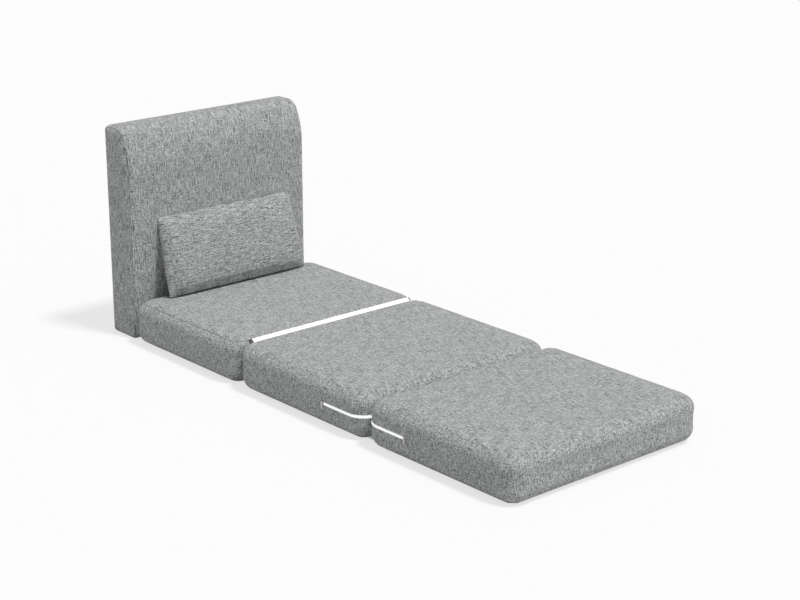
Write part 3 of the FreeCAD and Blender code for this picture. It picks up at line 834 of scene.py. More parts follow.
class PaddedBlock:
    """A stuffed block: an outline, two rounded caps and drawn-in sides, sewn from three panels."""

    even_reach = 55 * MM
    cloth_thickness = 1.2 * MM

    def __init__(
        self, outline: Outline, low: Cap, high: Cap, draw: float, side_shares: Sequence[float],
        place: Callable[[Array], Array],
    ) -> None:
        """Build the block's closed surface.

        Args:
            outline: its outline across its own axis.
            low: the cap at its low end.
            high: the cap at its high end.
            draw: how far its sides pull in, half way up.
            side_shares: places of the rings between the two rounded edges, from 0 to 1.
            place: turns the block's own points into the row frame.
        """
        base = low.level + low.edge
        span = (high.level - high.edge) - base
        rings = low.rounding(1)
        for share in side_shares:
            inset = draw * 4 * share * (1 - share)
            rings.append((inset, base + span * share, inset))
        rings += high.rounding(-1)
        self.outline = outline
        self.columns = outline.count
        self.low_seam = low.seam
        self.high_seam = len(rings) - 1 - high.seam
        self.rest_rings = np.array([np.column_stack((outline.at(inset), z)) for inset, z, _ in rings])
        spread = np.vstack([outline.at(unrolled) for _, _, unrolled in rings])
        faces = tube(len(rings), self.columns)
        labels = [self._panel_at(ring) for ring in range(len(rings) - 1) for _ in range(self.columns)]
        body = self.rest_rings.reshape(-1, 3)
        for cap, ring, flip in ((low, 0, True), (high, len(rings) - 1, False)):
            inner, cap_faces = self._cap_grid(cap, ring, len(body), flip)
            body = np.vstack((body, inner))
            faces += cap_faces
            labels += [Panel.LOW if flip else Panel.HIGH] * len(cap_faces)
        self.cloth = np.vstack((spread, body[len(spread):, :2]))
        self.faces = np.array(faces)
        self.labels = labels
        self.points = place(body)

    def _panel_at(self, ring: int) -> Panel:
        """Tell which panel lies above a ring."""
        if ring < self.low_seam:
            return Panel.LOW
        return Panel.HIGH if ring >= self.high_seam else Panel.BORDER

    def _cap_grid(self, cap: Cap, ring: int, first: int, flip: bool) -> tuple[Array, list]:
        """Fill a cap's rim with a grid.

        Args:
            cap: the cap.
            ring: the number of its rim ring.
            first: the number of the grid's first new vertex.
            flip: true for the low cap, whose faces look the other way.

        Returns:
            The new vertices and the quads.
        """
        rim = self.rest_rings[ring]
        bounds = self.outline.corners
        sides = []
        for start, end in zip(bounds, bounds[1:] + bounds[:1]):
            length = (end - start) % self.columns
            sides.append([(start + step) % self.columns for step in range(length + 1)])
        south, east, north, west = sides[0], sides[1], sides[2][::-1], sides[3][::-1]
        wide, tall = len(south) - 1, len(east) - 1
        grid = np.zeros((wide + 1, tall + 1), int)
        grid[:, 0], grid[:, -1] = south, north
        grid[0, :], grid[-1, :] = west, east
        grid += ring * self.columns
        u = np.linspace(0, 1, wide + 1)[1:-1, None, None]
        v = np.linspace(0, 1, tall + 1)[None, 1:-1, None]
        plan = rim[:, :2]
        low_curve, high_curve = plan[south][1:-1, None], plan[north][1:-1, None]
        left, right = plan[west][None, 1:-1], plan[east][None, 1:-1]
        inner = (
            (1 - v) * low_curve + v * high_curve + (1 - u) * left + u * right
            - (1 - u) * (1 - v) * plan[south[0]] - u * (1 - v) * plan[south[-1]]
            - (1 - u) * v * plan[north[0]] - u * v * plan[north[-1]]
        )
        flat = inner.reshape(-1, 2)
        reach = np.sqrt(((flat[:, None] - plan[None]) ** 2).sum(-1)).min(1)
        share = 1 - np.minimum(reach / cap.crown_reach, 1.0)
        height = rim[:, 2].mean() + cap.crown * (1 - share * share) * (-1 if flip else 1)
        grid[1:-1, 1:-1] = first + np.arange(len(flat)).reshape(wide - 1, tall - 1)
        faces = []
        for i in range(wide):
            for j in range(tall):
                quad = (grid[i, j], grid[i + 1, j], grid[i + 1, j + 1], grid[i, j + 1])
                faces.append(quad[::-1] if flip else quad)
        return np.column_stack((flat, height)), faces

    def ring(self, number: int, values: Array | None = None) -> Array:
        """Give a ring's points as they are now, or its rows of other values."""
        start = number * self.columns
        return (self.points if values is None else values)[start:start + self.columns]

    def seam_line(self, number: int) -> tuple[Array, Array]:
        """Give a seam ring's points, sunk to the thread's depth, and the surface's normals there."""
        outward = self.ring(number, vertex_normals(self.points, self.faces))
        return self.ring(number) - outward * SEAM_SINK, outward

    def panel(self, panel: Panel, name: str, material: Material, upright: bool, fold: float) -> Thing:
        """Cut one panel out of the block, turn its seam edges in and give it a thickness.

        Args:
            panel: which panel.
            name: the piece's name.
            material: its finish.
            upright: true where the border's cloth runs up the block's sides, and false where it
                runs round them.
            fold: how deep the seam edges are turned in.

        Returns:
            The panel's object.
        """
        normals = vertex_normals(self.points, self.faces)
        if panel is Panel.BORDER:
            points, faces, cloth = self._border(upright, normals, fold)
        else:
            points, faces, cloth = self._end_panel(panel, normals, fold)
        obj = mesh_object(name, points, faces, material, cloth)
        thicken(obj, self.cloth_thickness)
        return obj

    def _end_panel(self, panel: Panel, normals: Array, fold: float) -> tuple[Array, list, Array]:
        """Cut out the panel of a cap.

        Args:
            panel: which panel.
            normals: the surface's normals.
            fold: how deep its edge is turned in.

        Returns:
            Its points, faces and cloth coordinates.
        """
        chosen = self.faces[[label is panel for label in self.labels]]
        used = np.unique(chosen)
        renumber = np.full(len(self.points), -1)
        renumber[used] = np.arange(len(used))
        points = self.points[used].copy()
        seam, step = (self.low_seam, -1) if panel is Panel.LOW else (self.high_seam, 1)
        rim = self.ring(seam, renumber)
        near = self.ring(seam + step, renumber)
        points[rim], sunk = tuck(points[rim], points[near], normals[used[rim]], fold)
        turned_in = []
        for column in range(self.columns):
            after = (column + 1) % self.columns
            quad = (rim[column], rim[after], len(points) + after, len(points) + column)
            turned_in.append(quad if panel is Panel.LOW else quad[::-1])
        cloth = self.cloth[used]
        faces = renumber[chosen].tolist() + turned_in
        return np.vstack((points, sunk)), faces, np.vstack((cloth, cloth[rim]))

    def _border(self, upright: bool, normals: Array, fold: float) -> tuple[Array, list, Array]:
        """Cut out the border, whose ends meet in a closing seam.

        Args:
            upright: true where its cloth runs up the block's sides.
            normals: the surface's normals.
            fold: how deep its edges are turned in.

        Returns:
            Its points, faces and cloth coordinates.
        """
        closed = np.append(np.arange(self.columns), 0)
        rows = range(self.low_seam, self.high_seam + 1)
        grid = np.array([self.ring(row)[closed] for row in rows])
        outward = np.array([self.ring(row, normals)[closed] for row in rows])
        rest = np.array([self.rest_rings[row] for row in rows])
        climb = np.linalg.norm(np.diff(rest, axis=0), axis=2).mean(1)
        climb = np.concatenate(([0.0], np.cumsum(climb)))
        grid[0], low_sunk = tuck(grid[0], grid[1], outward[0], fold)
        grid[-1], high_sunk = tuck(grid[-1], grid[-2], outward[-1], fold)
        grid = np.concatenate((low_sunk[None], grid, high_sunk[None]))
        climb = np.concatenate(([climb[0] - fold], climb, [climb[-1] + fold]))
        across, up = np.meshgrid(self.outline.distance_along(), climb)
        even = np.clip(1 - (climb[-1] - up) / self.even_reach, 0.0, 1.0) if upright else 0 * up
        cloth = np.stack((across, up, even) if upright else (up, across, even), axis=2)
        high, wide = grid.shape[:2]
        faces = [
            (r * wide + c, r * wide + c + 1, (r + 1) * wide + c + 1, (r + 1) * wide + c)
            for r in range(high - 1) for c in range(wide - 1)
        ]
        return grid.reshape(-1, 3), faces, cloth.reshape(-1, 3)


def capsules(
    centres: Array, along: Array, out: Array, length: float, width: float, height: float,
) -> tuple[Array, list]:
    """Make one small rounded bar at each centre.

    Args:
        centres: where the bars are.
        along: the direction of each bar's length.
        out: the direction of each bar's height.
        length: the bars' length.
        width: their width.
        height: their height above and below the centre together.

    Returns:
        The points and faces of all the bars.
    """
    side = np.cross(out, along)
    section = [(math.cos(turn), math.sin(turn)) for turn in np.arange(6) * math.pi / 3]
    stations = ((-0.5, 0.45), (-0.36, 1.0), (0.36, 1.0), (0.5, 0.45))
    cloud = np.stack([
        centres + along * (place * length)
        + side * (cosine * width / 2 * swell) + out * (sine * height / 2 * swell)
        for place, swell in stations for cosine, sine in section
    ], axis=1)
    quads = tube(len(stations), len(section)) + tube_ends(len(stations), len(section))
    faces = [
        tuple(start + corner for corner in face)
        for start in np.arange(len(centres)) * cloud.shape[1] for face in quads
    ]
    return cloud.reshape(-1, 3), faces


def even_steps(line: Array, outward: Array, pitch: float, closed: bool) -> tuple[Array, Array, Array]:
    """Step evenly along a line.

    Args:
        line: its points.
        outward: the surface's normals there.
        pitch: the wanted step.
        closed: true where the line comes back to its start.

    Returns:
        The places, the line's directions and the normals at the steps.
    """
    if closed:
        line, outward = np.vstack((line, line[:1])), np.vstack((outward, outward[:1]))
    run = np.concatenate(([0.0], np.cumsum(np.linalg.norm(np.diff(line, axis=0), axis=1))))
    count = max(2, round(run[-1] / pitch))
    where = (np.arange(count) + 0.5) * run[-1] / count

    def read(values: Array, shift: float = 0.0) -> Array:
        """Read values off at the steps, shifted along the line."""
        return np.column_stack([np.interp(where + shift, run, values[:, axis]) for axis in range(3)])

    along = unit(read(line, pitch / 4) - read(line, -pitch / 4))
    normals = read(outward)
    return read(line), along, unit(normals - along * (normals * along).sum(1, keepdims=True))


@dataclass(frozen=True)
class Stitching:
    """A row of thread stitches in a seam."""

    thickness: float = 0.7 * MM
    pitch: float = 4.6 * MM
    length: float = 3.4 * MM

    def sew(self, name: str, line: Array, outward: Array, material: Material) -> Thing:
        """Sew along a closed line and give the stitches as one piece."""
        steps = even_steps(line, outward, self.pitch, closed=True)
        return mesh_object(name, *capsules(*steps, self.length, self.thickness, self.thickness), material)


@dataclass(frozen=True)
class CoilZip:
    """A coil zip laid on a cover: a woven tape with a row of slanted coil turns on it."""

    finishes: Finishes
    width: float = 7.5 * MM
    tape_width: float = 9 * MM
    proud: float = 1.3 * MM
    lift: float = 0.45
    pitch: float = 6.2 * MM
    turn_width: float = 5.0 * MM
    slant: float = 38.0

    def lay(self, name: str, body: str, line: Array, outward: Array) -> None:
        """Lay the zip along a line on the cover.

        Args:
            name: the zip's name, whose chain node it stands for.
            body: the body that it rides on.
            line: the points of its middle line on the cover.
            outward: the cover's normals there.
        """
        places, along, normals = even_steps(line, outward, self.pitch, closed=False)
        turn = math.radians(self.slant)
        bars = np.cross(normals, along) * math.cos(turn) + along * math.sin(turn)
        centres = places + normals * (self.proud * self.lift)
        length = (self.width - 0.5 * self.turn_width * math.sin(turn)) / math.cos(turn)
        turns = capsules(centres, bars, normals, length, self.turn_width, self.proud)
        coil = mesh_object(f"{name}_zip_coil", *turns, self.finishes.coil)
        dress(coil, body, Slot.ZIP_COIL, (f"{name}_zip_chain",))
        profile = ((-0.5, -0.6), (-0.5, 0.25), (-0.3, 0.45), (0.3, 0.45), (0.5, 0.25), (0.5, -0.6))
        sideways = unit(np.cross(outward, unit(np.gradient(line, axis=0))))
        cloud = np.stack([
            line + sideways * (offset * self.tape_width) + outward * (lift * MM)
            for offset, lift in profile
        ], axis=1)
        quads = tube(len(line), len(profile)) + tube_ends(len(line), len(profile))
        tape = mesh_object(f"{name}_zip_tape", cloud.reshape(-1, 3), quads, self.finishes.tape)
        dress(tape, body, Slot.ZIP_COIL)


@dataclass
class Cushion:
    """One floor cushion: three sewn cover panels over foam, with its zip."""

    name: str
    body: str
    finishes: Finishes
    front_joint: bool = False
    rear_joint: bool = False
    bold_seam: bool = False
    free_edge: float = 34 * MM
    joint_edge: float = 20 * MM
    least_edge: float = 10 * MM
    plan_radius: float = 54 * MM
    base_edge: float = 40 * MM
    crown: float = 3 * MM
    side_draw: float = 2 * MM
    fold: float = 0.5 * MM
    bold_fold: float = 1.7 * MM
    fine_thread: float = 0.4 * MM
    foam_gap: float = 2.6 * MM
    zip_height: float = 69 * MM
    zip_reach: float = 14 * MM
    room: tuple[float, float, float] = (1.5 * MM, 1.2 * MM, 0.3 * MM)
    low_angles: tuple[float, ...] = (90, 76, 62, 48.6, 36, 24, 12, 0)
    high_angles: tuple[float, ...] = (90, 79, 68, 56, 44, 33, 22, 11, 0)
    side_shares: tuple[float, ...] = (0.18, 0.34, 0.5, 0.66, 0.82)
    block: PaddedBlock = field(init=False)

    def make(self) -> None:
        """Build the cover, the seam's stitches, and the foam."""
        low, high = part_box(f"{self.name}_border")
        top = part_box(f"{self.name}_top_panel")[1].z
        half_x, half_y = (high.x - low.x) / 2, (high.y - low.y) / 2
        shift = np.array((0.0, (low.y + high.y) / 2, 0.0))
        self.block = self._block(half_x, half_y, 0.0, top, 0.0, shift)
        settled = self._settled(self.block)
        self.block.points = keep_in_box(settled, low, (high.x, high.y, top), np.array(self.room))
        finishes = self.finishes
        panels = (
            (Panel.LOW, "base_panel", finishes.fabric), (Panel.BORDER, "border", finishes.border),
            (Panel.HIGH, "top_panel", finishes.fabric),
        )
        fold = self.bold_fold if self.bold_seam else self.fold
        for panel, label, fabric in panels:
            obj = self.block.panel(panel, f"{self.name}_cover_{label}", fabric, True, fold)
            dress(obj, self.body, Slot.GREY_FABRIC, (f"{self.name}_{label}",))
        seam = self.block.seam_line(self.block.high_seam)
        thread = finishes.dark_thread if self.bold_seam else finishes.thread
        stitching = Stitching() if self.bold_seam else Stitching(self.fine_thread)
        stitches = stitching.sew(f"{self.name}_top_stitching", *seam, thread)
        dress(stitches, self.body, Slot.GREY_FABRIC)
        gap, shrink = self.foam_gap, self.foam_gap + self.side_draw
        core = self._block(half_x - shrink, half_y - shrink, gap, top - gap, shrink, shift)
        foam = mesh_object(f"{self.name}_foam_core", core.points, core.faces, finishes.foam)
        dress(foam, self.body, Slot.CUSHION_FOAM, (f"{self.name}_foam",))

    def _block(
        self, half_x: float, half_y: float, base: float, top: float, shrink: float, shift: Array,
    ) -> PaddedBlock:
        """Build a block of the cushion's form.

        Args:
            half_x: half its width.
            half_y: half its length.
            base: the height of its underside.
            top: the height of its top.
            shrink: how far its edges and corners are drawn in.
            shift: where it stands.

        Returns:
            The block.
        """
        rear = self.joint_edge if self.rear_joint else self.free_edge
        front = self.joint_edge if self.front_joint else self.free_edge
        sides = (rear, self.free_edge, front, self.free_edge)
        edges = [max(edge - shrink, self.least_edge) for edge in sides]
        outline = rounded_rectangle(half_x, half_y, self.plan_radius - shrink, edges)
        low = Cap(base, np.full(outline.count, self.base_edge - shrink), self.low_angles, seam=3)
        high = Cap(top - self.crown, outline.edge, self.high_angles, seam=2, crown=self.crown)
        return PaddedBlock(outline, low, high, self.side_draw, self.side_shares, lambda p: p + shift)

    def _settled(self, block: PaddedBlock) -> Array:
        """Swell the cover over its foam, but hold it still at the height of the zip.

        Args:
            block: the cushion's block.

        Returns:
            The cover's settled vertices.
        """
        moved = Stuffing().swell(block.points, block.faces) - block.points
        away = np.clip(np.abs(block.points[:, 2] - self.zip_height) / self.zip_reach, 0.0, 1.0)
        return block.points + moved * away[:, None]

    def lay_zip(self, keep: Callable[[Array], Array]) -> None:
        """Lay the cushion's zip on the stretch of its cover that a test keeps.

        Args:
            keep: tells which points of the line round the cushion carry the zip.
        """
        line, outward = self._zip_line()
        kept = keep(line)
        starts = np.flatnonzero(kept & ~np.roll(kept, 1))
        first = int(starts[0]) if len(starts) else 0
        order = [index % len(line) for index in range(first, first + int(kept.sum()))]
        CoilZip(self.finishes).lay(self.name, self.body, line[order], outward[order])

    def _zip_line(self) -> tuple[Array, Array]:
        """Trace the cover at the zip's height, round the cushion.

        Returns:
            The line's points and the level outward normals there.
        """
        block = self.block
        rings = range(block.low_seam, block.high_seam + 1)
        normals = vertex_normals(block.points, block.faces)
        places = np.array([block.ring(number) for number in rings])
        outward = np.array([block.ring(number, normals) for number in rings])
        columns = np.arange(block.columns)
        above = (places[:, :, 2] < self.zip_height).sum(0)
        lower, upper = places[above - 1, columns], places[above, columns]
        share = ((self.zip_height - lower[:, 2]) / (upper[:, 2] - lower[:, 2]))[:, None]
        out = outward[above - 1, columns] * (1 - share) + outward[above, columns] * share
        out[:, 2] = 0.0
        return lower * (1 - share) + upper * share, unit(out)


@dataclass
class Backrest:
    """The upright backrest: a wrap panel and two side panels over foam, with a zip low behind."""

    finishes: Finishes
    front_edge: float = 24 * MM
    rear_edge: float = 13 * MM
    crest_radius: float = 45 * MM
    sweep_radius: float = 219 * MM
    bend_height: float = 525 * MM
    corner_radius: float = 14 * MM
    side_crown: float = 1 * MM
    crown_reach: float = 50 * MM
    cover_gap: float = 2.4 * MM
    fold: float = 1.7 * MM
    pressure: float = 3.0
    zip_height: float = 69 * MM
    zip_points: int = 60
    cells: int = 61
    room: tuple[float, float, float] = (2 * MM, 1 * MM, 2 * MM)
    angles: tuple[float, ...] = (90, 78, 66, 54, 41.8, 31, 21, 10, 0)

    def make(self) -> None:
        """Build the cover, its stitches, the foam and the zip."""
        low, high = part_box("backrest_wrap_panel")
        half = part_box("backrest_right_side_panel")[1].x
        block = self._block(low, high, half, 0.0)
        swollen = Stuffing(pressure=self.pressure).swell(block.points, block.faces)
        least, most = (-half, low.y, 0.0), (half, high.y, high.z)
        block.points = keep_in_box(swollen, least, most, np.array(self.room))
        panels = (
            (Panel.LOW, "left_side_panel"), (Panel.BORDER, "wrap_panel"), (Panel.HIGH, "right_side_panel"),
        )
        for panel, label in panels:
            obj = block.panel(panel, f"backrest_cover_{label}", self.finishes.upright, False, self.fold)
            dress(obj, "base", Slot.GREY_FABRIC, (f"backrest_{label}",))
        for number, side in ((block.low_seam, "left"), (block.high_seam, "right")):
            seam = block.seam_line(number)
            stitches = Stitching().sew(f"backrest_{side}_stitching", *seam, self.finishes.dark_thread)
            dress(stitches, "base", Slot.GREY_FABRIC)
        core = self._block(low, high, half, self.cover_gap)
        foam = mesh_object("backrest_foam_core", core.points, core.faces, self.finishes.foam)
        dress(foam, "base", Slot.CUSHION_FOAM, ("backrest_foam",))
        self._lay_zip(high.y)

    def _block(self, low: object, high: object, half: float, gap: float) -> PaddedBlock:
        """Build a block of the backrest's form.

        Args:
            low: the low corner of the wrap panel's box.
            high: its high corner.
            half: half the backrest's width.
            gap: how far the block is drawn in.

        Returns:
            The block.
        """
        depth, height = high.y - low.y, high.z - low.z
        corner, crest, sweep = self.corner_radius, self.crest_radius, self.sweep_radius
        rise = height - crest - self.bend_height
        reach = math.sqrt((sweep - crest) ** 2 - rise ** 2)
        bend = 180 - math.degrees(math.atan2(rise, reach))
        front, rear = self.front_edge - gap, self.rear_edge - gap
        # Each arc: centre, radius, start, end, its steps, its run's steps, edge radius, corner step.
        outline = Outline([
            Arc((depth - corner, corner), corner - gap, 270, 360, 4, 62, rear, 2),
            Arc((depth - corner, height - corner), corner - gap, 0, 90, 4, 7, front, 2),
            Arc((sweep - reach, height - crest), crest - gap, 90, bend, 6, 0, front, 3),
            Arc((sweep, self.bend_height), sweep - gap, bend, 180, 14, 47, front),
            Arc((corner, corner), corner - gap, 180, 270, 4, 8, rear, 2),
        ])
        left, right = (
            Cap(level, outline.edge, self.angles, 4, self.side_crown, self.crown_reach)
            for level in (-half + gap, half - gap)
        )
        origin = np.array((0.0, low.y, low.z))
        shares = np.linspace(0, 1, self.cells + 1)[1:-1]
        return PaddedBlock(outline, left, right, 0.0, shares, lambda p: p[:, [2, 0, 1]] + origin)

    def _lay_zip(self, rear: float) -> None:
        """Lay the straight zip across the rear, at the zip's height.

        Args:
            rear: where the rear face stands along the bed.
        """
        low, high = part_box("backrest_zip_chain")
        count = self.zip_points
        place, height = np.full(count, rear + 0.1 * MM), np.full(count, self.zip_height)
        line = np.column_stack((np.linspace(low.x, high.x, count), place, height))
        CoilZip(self.finishes).lay("backrest", "base", line, np.tile((0.0, 1.0, 0.0), (count, 1)))


@dataclass
class LumbarPillow:
    """The loose pillow: two sheets sewn together all round and stuffed."""

    finishes: Finishes
    length: float = 510 * MM
    height: float = 250 * MM
    thickness: float = 78 * MM
    lean: float = 16.3
    shift: float = 12 * MM
    taper: float = 0.045
    end_fall: float = 8.0
    hem_fall: float = 3.4
    roundness: float = 0.55
    crowding: float = 1.35
    filling_share: float = 0.955
    cells: tuple[int, int] = (84, 42)
    stuffing: Stuffing = Stuffing(
        stiffness=18.0, bending=0.8, rise=4 * MM, sink=1.5 * MM, slide=1.5 * MM, smoothing=16,
    )

    def make(self) -> None:
        """Build the cover and the filling."""
        flat, faces = self._sheets()
        points = self._placed(self.stuffing.swell(flat, faces))
        cover = mesh_object("lumbar_pillow_cover", points, faces, self.finishes.pillow, flat[:, [0, 2]])
        modifier = cover.modifiers.new("smooth", "SUBSURF")
        modifier.levels = modifier.render_levels = 1
        apply_modifiers(cover)
        dress(cover, "pillow", Slot.PILLOW_FABRIC, ("pillow_cover",))
        centre = points.mean(0)
        inner = centre + (points - centre) * self.filling_share
        filling = mesh_object("lumbar_pillow_filling", inner, faces, self.finishes.fibre)
        dress(filling, "pillow", Slot.PILLOW_FIBRE, ("pillow_filling",))

    def _sheets(self) -> tuple[Array, Array]:
        """Lay out the two sheets as one closed mesh, a little swollen to start with.

        Returns:
            The points and the quads.
        """
        wide, tall = self.cells
        u, v = (
            np.sign(line) * (1 - (1 - np.abs(line)) ** self.crowding)
            for line in (np.linspace(-1, 1, wide + 1)[:, None], np.linspace(-1, 1, tall + 1)[None])
        )
        u, v = np.broadcast_arrays(u, v)
        swell = (1 - np.abs(u) ** self.end_fall) * (1 - np.abs(v) ** self.hem_fall)
        depth = self.thickness / 2 * np.maximum(swell, 0) ** self.roundness
        front, back = (
            np.stack((u * self.length / 2, side * depth, v * self.height / 2), axis=2) for side in (-1, 1)
        )
        number = np.arange((wide + 1) * (tall + 1)).reshape(wide + 1, tall + 1)
        inside = np.zeros_like(number, bool)
        inside[1:-1, 1:-1] = True
        behind = number.copy()
        behind[inside] = number.size + np.arange(inside.sum())
        faces = []
        for i in range(wide):
            for j in range(tall):
                faces.append((number[i, j], number[i + 1, j], number[i + 1, j + 1], number[i, j + 1]))
                faces.append((behind[i, j], behind[i, j + 1], behind[i + 1, j + 1], behind[i + 1, j]))
        return np.vstack((front.reshape(-1, 3), back[inside])), np.array(faces)

    def _placed(self, points: Array) -> Array:
        """Bring the swollen pillow to its size, lean it back and set it in its node's box.

        Args:
            points: the swollen pillow's vertices.

        Returns:
            The vertices in the row frame.
        """
        low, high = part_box("pillow_cover")
        centred = points - (points.min(0) + points.max(0)) / 2
        size = centred.max(0) - centred.min(0)
        x, depth, rise = (centred * (np.array((self.length, self.thickness, self.height)) / size)).T
        turn = math.radians(self.lean)
        y = depth * math.cos(turn) + rise * math.sin(turn)
        z = rise * math.cos(turn) - depth * math.sin(turn)
        return np.column_stack((
            x * (1 - self.taper * rise / self.height) + (low.x + high.x) / 2 + self.shift,
            y + high.y - self.height / 2 * math.sin(turn),
            z + low.z - z.min(),
        ))


@dataclass
class HingeStrips:
    """The webbing strips that join the cushions, and the one that holds the backrest."""

    finishes: Finishes
    edge_radius: float = 20 * MM
    shoulder: float = 128 * MM
    thickness: float = 1.1 * MM
    near_shift: float = 17 * MM
    far_shift: float = 23 * MM
    top_angle: float = 69.0
    valley_angle: float = 24.0
    curve_points: int = 12
    fold_reach: float = 8 * MM
    # Bars of dark thread beyond the front strip's ends are painted shade for the hollow between the cushions
    # there.
    end_shade_bars: int = 5
    end_shade_width: float = 3.4 * MM
    near_end_shade: float = 14 * MM
    far_end_shade: float = 5 * MM
    flat_cells: int = 24
    stations: int = 80

    def make(self) -> None:
        """Build the three strips; the two on folding joints stay fixed in the row frame."""
        self._front()
        under, low, high = self._flat("floor_webbing_strip", "floor_hinge_strip")
        fold = (low.y + high.y) / 2
        self._bend(under, "floor_hinge_strip", "middle_cushion", "foot_cushion", fold, low.z)
        rear = self._flat("rear_webbing_strip", "backrest_joining_strip")[0]
        dress(rear, "base", Slot.WHITE_WEBBING, ("backrest_joining_strip",))

    def _front(self) -> None:
        """Lay the front strip over the two facing edges, pressed into the valley between them."""
        low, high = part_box("front_hinge_strip")
        rear_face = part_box("seat_border")[0].y
        front_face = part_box("middle_border")[1].y
        radius = self.edge_radius + 0.6 * self.thickness
        angles = np.radians(np.linspace(self.top_angle, self.valley_angle, self.curve_points))
        seat_side = np.column_stack((
            rear_face + self.edge_radius - radius * np.cos(angles),
            self.shoulder - self.edge_radius + radius * np.sin(angles),
        ))
        middle_side = seat_side[::-1] * (-1, 1) + (rear_face + front_face, 0)
        valley = (seat_side[-1] + middle_side[0]) / 2 - (0, self.thickness)
        profile = np.vstack((seat_side, valley, middle_side))
        near, far = low.x + self.near_shift, high.x + self.far_shift
        strip = self._band("front_webbing_strip", near, far, profile)
        self._bend(strip, "front_hinge_strip", "base", "middle_cushion", valley[0], valley[1])
        # Painted shade: dark thread bars just beyond each end of the strip, in the valley between the
        # cushions.
        bars = seat_side[np.linspace(1, len(seat_side) - 1, self.end_shade_bars).round().astype(int)]
        self._painted_end_shade("near", near - self.near_end_shade / 2, bars, self.near_end_shade)
        self._painted_end_shade("far", far + self.far_end_shade / 2, bars, self.far_end_shade)

    def _painted_end_shade(self, end: str, place: float, bars: Array, length: float) -> None:
        """Paint the shade at one end of the front strip with bars of dark thread: painted shade for the dark
        hollow between the cushions beyond the strip's end.

        Args:
            end: which end, near or far.
            place: the middle of the bars along the strip.
            bars: the bars' places along the bed and heights.
            length: the bars' length.
        """
        count = len(bars)
        centres = np.column_stack((np.full(count, place), bars - (0, self.end_shade_width / 4)))
        along, out = np.tile((1.0, 0.0, 0.0), (count, 1)), np.tile((0.0, 0.0, 1.0), (count, 1))
        shape = capsules(centres, along, out, length, self.end_shade_width, self.end_shade_width)
        # The dark bars stand in for the shade of the hollow.
        shade_piece = mesh_object(f"front_strip_{end}_painted_end_shade", *shape, self.finishes.dark_thread)
        dress(shade_piece, "base", Slot.WHITE_WEBBING)

    def _bend(
        self, strip: Thing, node: str, rear_body: str, front_body: str, fold: float, level: float,
    ) -> None:
        """Blend a strip across its joint.

        Args:
            strip: the strip.
            node: the CAD node that it stands for.
            rear_body: the body behind the joint.
            front_body: the body in front of it.
            fold: where the joint's fold lies along the bed.
            level: the fold's height.
        """
        start, end = (0, fold + self.fold_reach, level), (0, fold - self.fold_reach, level)
        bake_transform(strip)
        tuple(start)
        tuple(end)
        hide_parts(node)
        log.info("%s bends between %s and %s", strip.name, rear_body, front_body)

    def _flat(self, name: str, node: str) -> tuple[Thing, object, object]:
        """Make a strip that lies flat on the floor.

        Args:
            name: the piece's name.
            node: the CAD node that it stands for.

        Returns:
            The strip, and the low and high corners of the node's box.
        """
        low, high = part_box(node)
        along = np.linspace(high.y, low.y, self.flat_cells + 1)
        level = np.full(len(along), 0.1 * MM + self.thickness / 2)
        return self._band(name, low.x, high.x, np.column_stack((along, level))), low, high

    def _band(self, name: str, low_x: float, high_x: float, profile: Array) -> Thing:
        """Make a band with a profile across its length.

        Args:
            name: the piece's name.
            low_x: where it starts.
            high_x: where it ends.
            profile: its middle line across the joint, as places along the bed and heights.

        Returns:
            The band.
        """
        ahead = unit(np.gradient(profile, axis=0))
        lift = np.column_stack((ahead[:, 1], -ahead[:, 0])) * (self.thickness / 2)
        loop = np.vstack((profile + lift, (profile - lift)[::-1]))
        ring, last = len(loop), self.stations - 1
        across = np.linspace(low_x, high_x, self.stations)
        points = np.array([(x, y, z) for x in across for y, z in loop])
        faces = tube(self.stations, ring)
        for station in (0, last):
            for k in range(len(profile) - 1):
                quad = tuple(station * ring + i for i in (k, k + 1, ring - 2 - k, ring - 1 - k))
                faces.append(quad if station else quad[::-1])
        strip = mesh_object(name, points, faces, self.finishes.webbing)
        strip.data.set_sharp_from_angle(angle=SHARP_TURN)
        return strip


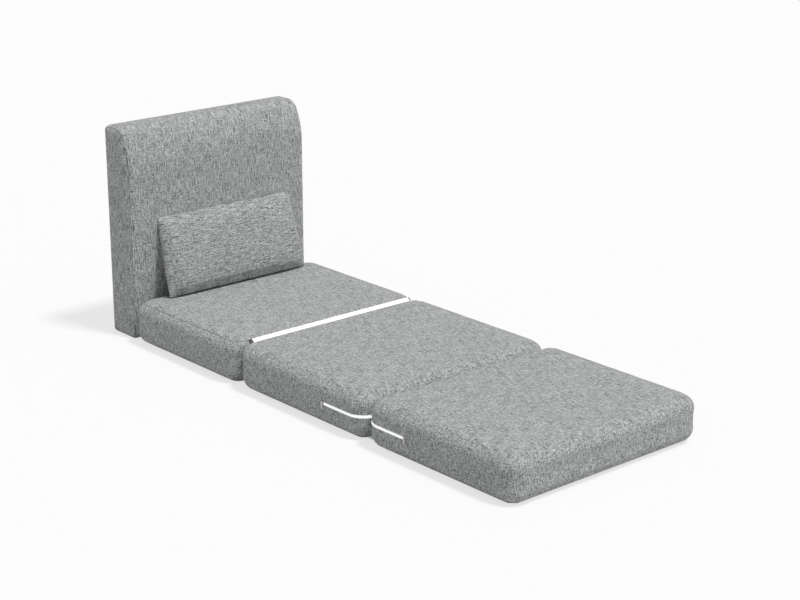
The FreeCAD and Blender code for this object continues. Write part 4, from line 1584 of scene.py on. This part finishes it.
@dataclass(frozen=True)
class Studio:
    """The camera at the photograph's angle, a pale floor and soft light."""

    camera_place: tuple[float, float, float] = (-3.2948, -4.3851, 1.8976)
    camera_turn: tuple[float, float, float] = (72.04, 0.0, -40.91)
    lens: float = 84.73
    sensor: float = 36.0
    view_depth: float = 200.0
    towards_key: tuple[float, float, float] = (0.3, -0.85, 2.1)
    key_strength: float = 2.0
    key_spread: float = 9.0
    sky: float = 0.36
    floor_size: float = 80.0

    def make(self) -> None:
        """Set up the camera, the lights and the floor."""
        scene = bpy.context.scene
        scene.view_settings.view_transform = "Standard"
        data = bpy.data.cameras.new("camera")
        data.lens = self.lens
        data.sensor_width = self.sensor
        data.clip_end = self.view_depth
        camera = bpy.data.objects.new("camera", data)
        camera.location = self.camera_place
        camera.rotation_euler = tuple(math.radians(angle) for angle in self.camera_turn)
        scene.collection.objects.link(camera)
        scene.camera = camera
        scene.world = self._sky()
        self._key(scene)
        half = self.floor_size / 2
        corners = np.array([(-half, -half, 0), (half, -half, 0), (half, half, 0), (-half, half, 0)])
        mesh_object("floor", corners, [(0, 1, 2, 3)], FloorFinish().material())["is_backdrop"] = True

    def _sky(self) -> bpy.types.World:
        """Make a world that lights softly all round, and that the camera sees as white.

        Returns:
            The world.
        """
        kit = NodeKit(bpy.data.worlds.new("studio"))
        soft, bright = (
            kit.add("ShaderNodeBackground", None, {"Color": WHITE, "Strength": strength})
            for strength in (self.sky, 1.0)
        )
        mixed = kit.add("ShaderNodeMixShader", None, {0: kit.seen_by_camera(), 1: soft, 2: bright})
        return kit.finish(mixed, "ShaderNodeOutputWorld")

    def _key(self, scene: bpy.types.Scene) -> None:
        """Hang the key light high in front, a little to the right.

        Args:
            scene: the scene that it lights.
        """
        lamp = bpy.data.lights.new("key", "SUN")
        lamp.energy = self.key_strength
        lamp.angle = math.radians(self.key_spread)
        key = bpy.data.objects.new("key", lamp)
        key.location = tuple(2.0 * part for part in self.towards_key)
        x, y, z = (-part for part in self.towards_key)
        key.rotation_euler = (math.atan2(math.hypot(x, y), -z), 0.0, math.atan2(y, x) - math.pi / 2)
        scene.collection.objects.link(key)


def keep_bounds(name: str) -> dict[str, list]:
    """Give the shown object's box under a name, as plain lists."""
    low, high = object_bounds()
    return {name: [list(low), list(high)]}


def finish_sliders(finishes: Finishes) -> None:
    """Give the carried zip sliders and pulls their metal.

    Args:
        finishes: the materials.
    """
    for name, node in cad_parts.items():
        if name.endswith(("_zip_slider", "_zip_pull")):
            node.data.materials.clear()
            node.data.materials.append(finishes.metal)


def lay_zips(seat: Cushion, middle: Cushion, foot: Cushion) -> None:
    """Lay each cushion's zip along the stretch that its chain takes.

    Args:
        seat: the seat cushion, with a straight zip behind.
        middle: the middle cushion, with a zip round its front end.
        foot: the foot cushion, with a zip round its rear end.
    """
    slack = 4 * MM
    chain_low, chain_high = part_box("seat_zip_chain")
    seat.lay_zip(lambda p: (p[:, 1] > chain_low.y - slack) & (np.abs(p[:, 0]) < chain_high.x))
    middle_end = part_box("middle_zip_chain")[1].y
    middle.lay_zip(lambda p: p[:, 1] < middle_end)
    foot_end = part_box("foot_zip_chain")[0].y
    foot.lay_zip(lambda p: p[:, 1] > foot_end)


def main() -> None:
    """Build every piece in order."""
    logging.basicConfig(level=logging.INFO, format="%(name)s: %(message)s")
    sizes = keep_bounds("cad")
    Studio().make()
    finishes = Finishes()
    cushions = (
        Cushion("seat", "base", finishes, front_joint=True, bold_seam=True),
        Cushion("middle", "middle_cushion", finishes, rear_joint=True),
        Cushion("foot", "foot_cushion", finishes),
    )
    for cushion in cushions:
        cushion.make()
    lay_zips(*cushions)
    for piece in (Backrest(finishes), LumbarPillow(finishes), HingeStrips(finishes)):
        piece.make()
    finish_sliders(finishes)
    sizes.update(keep_bounds("visual"))


if __name__ == "__main__":
    main()
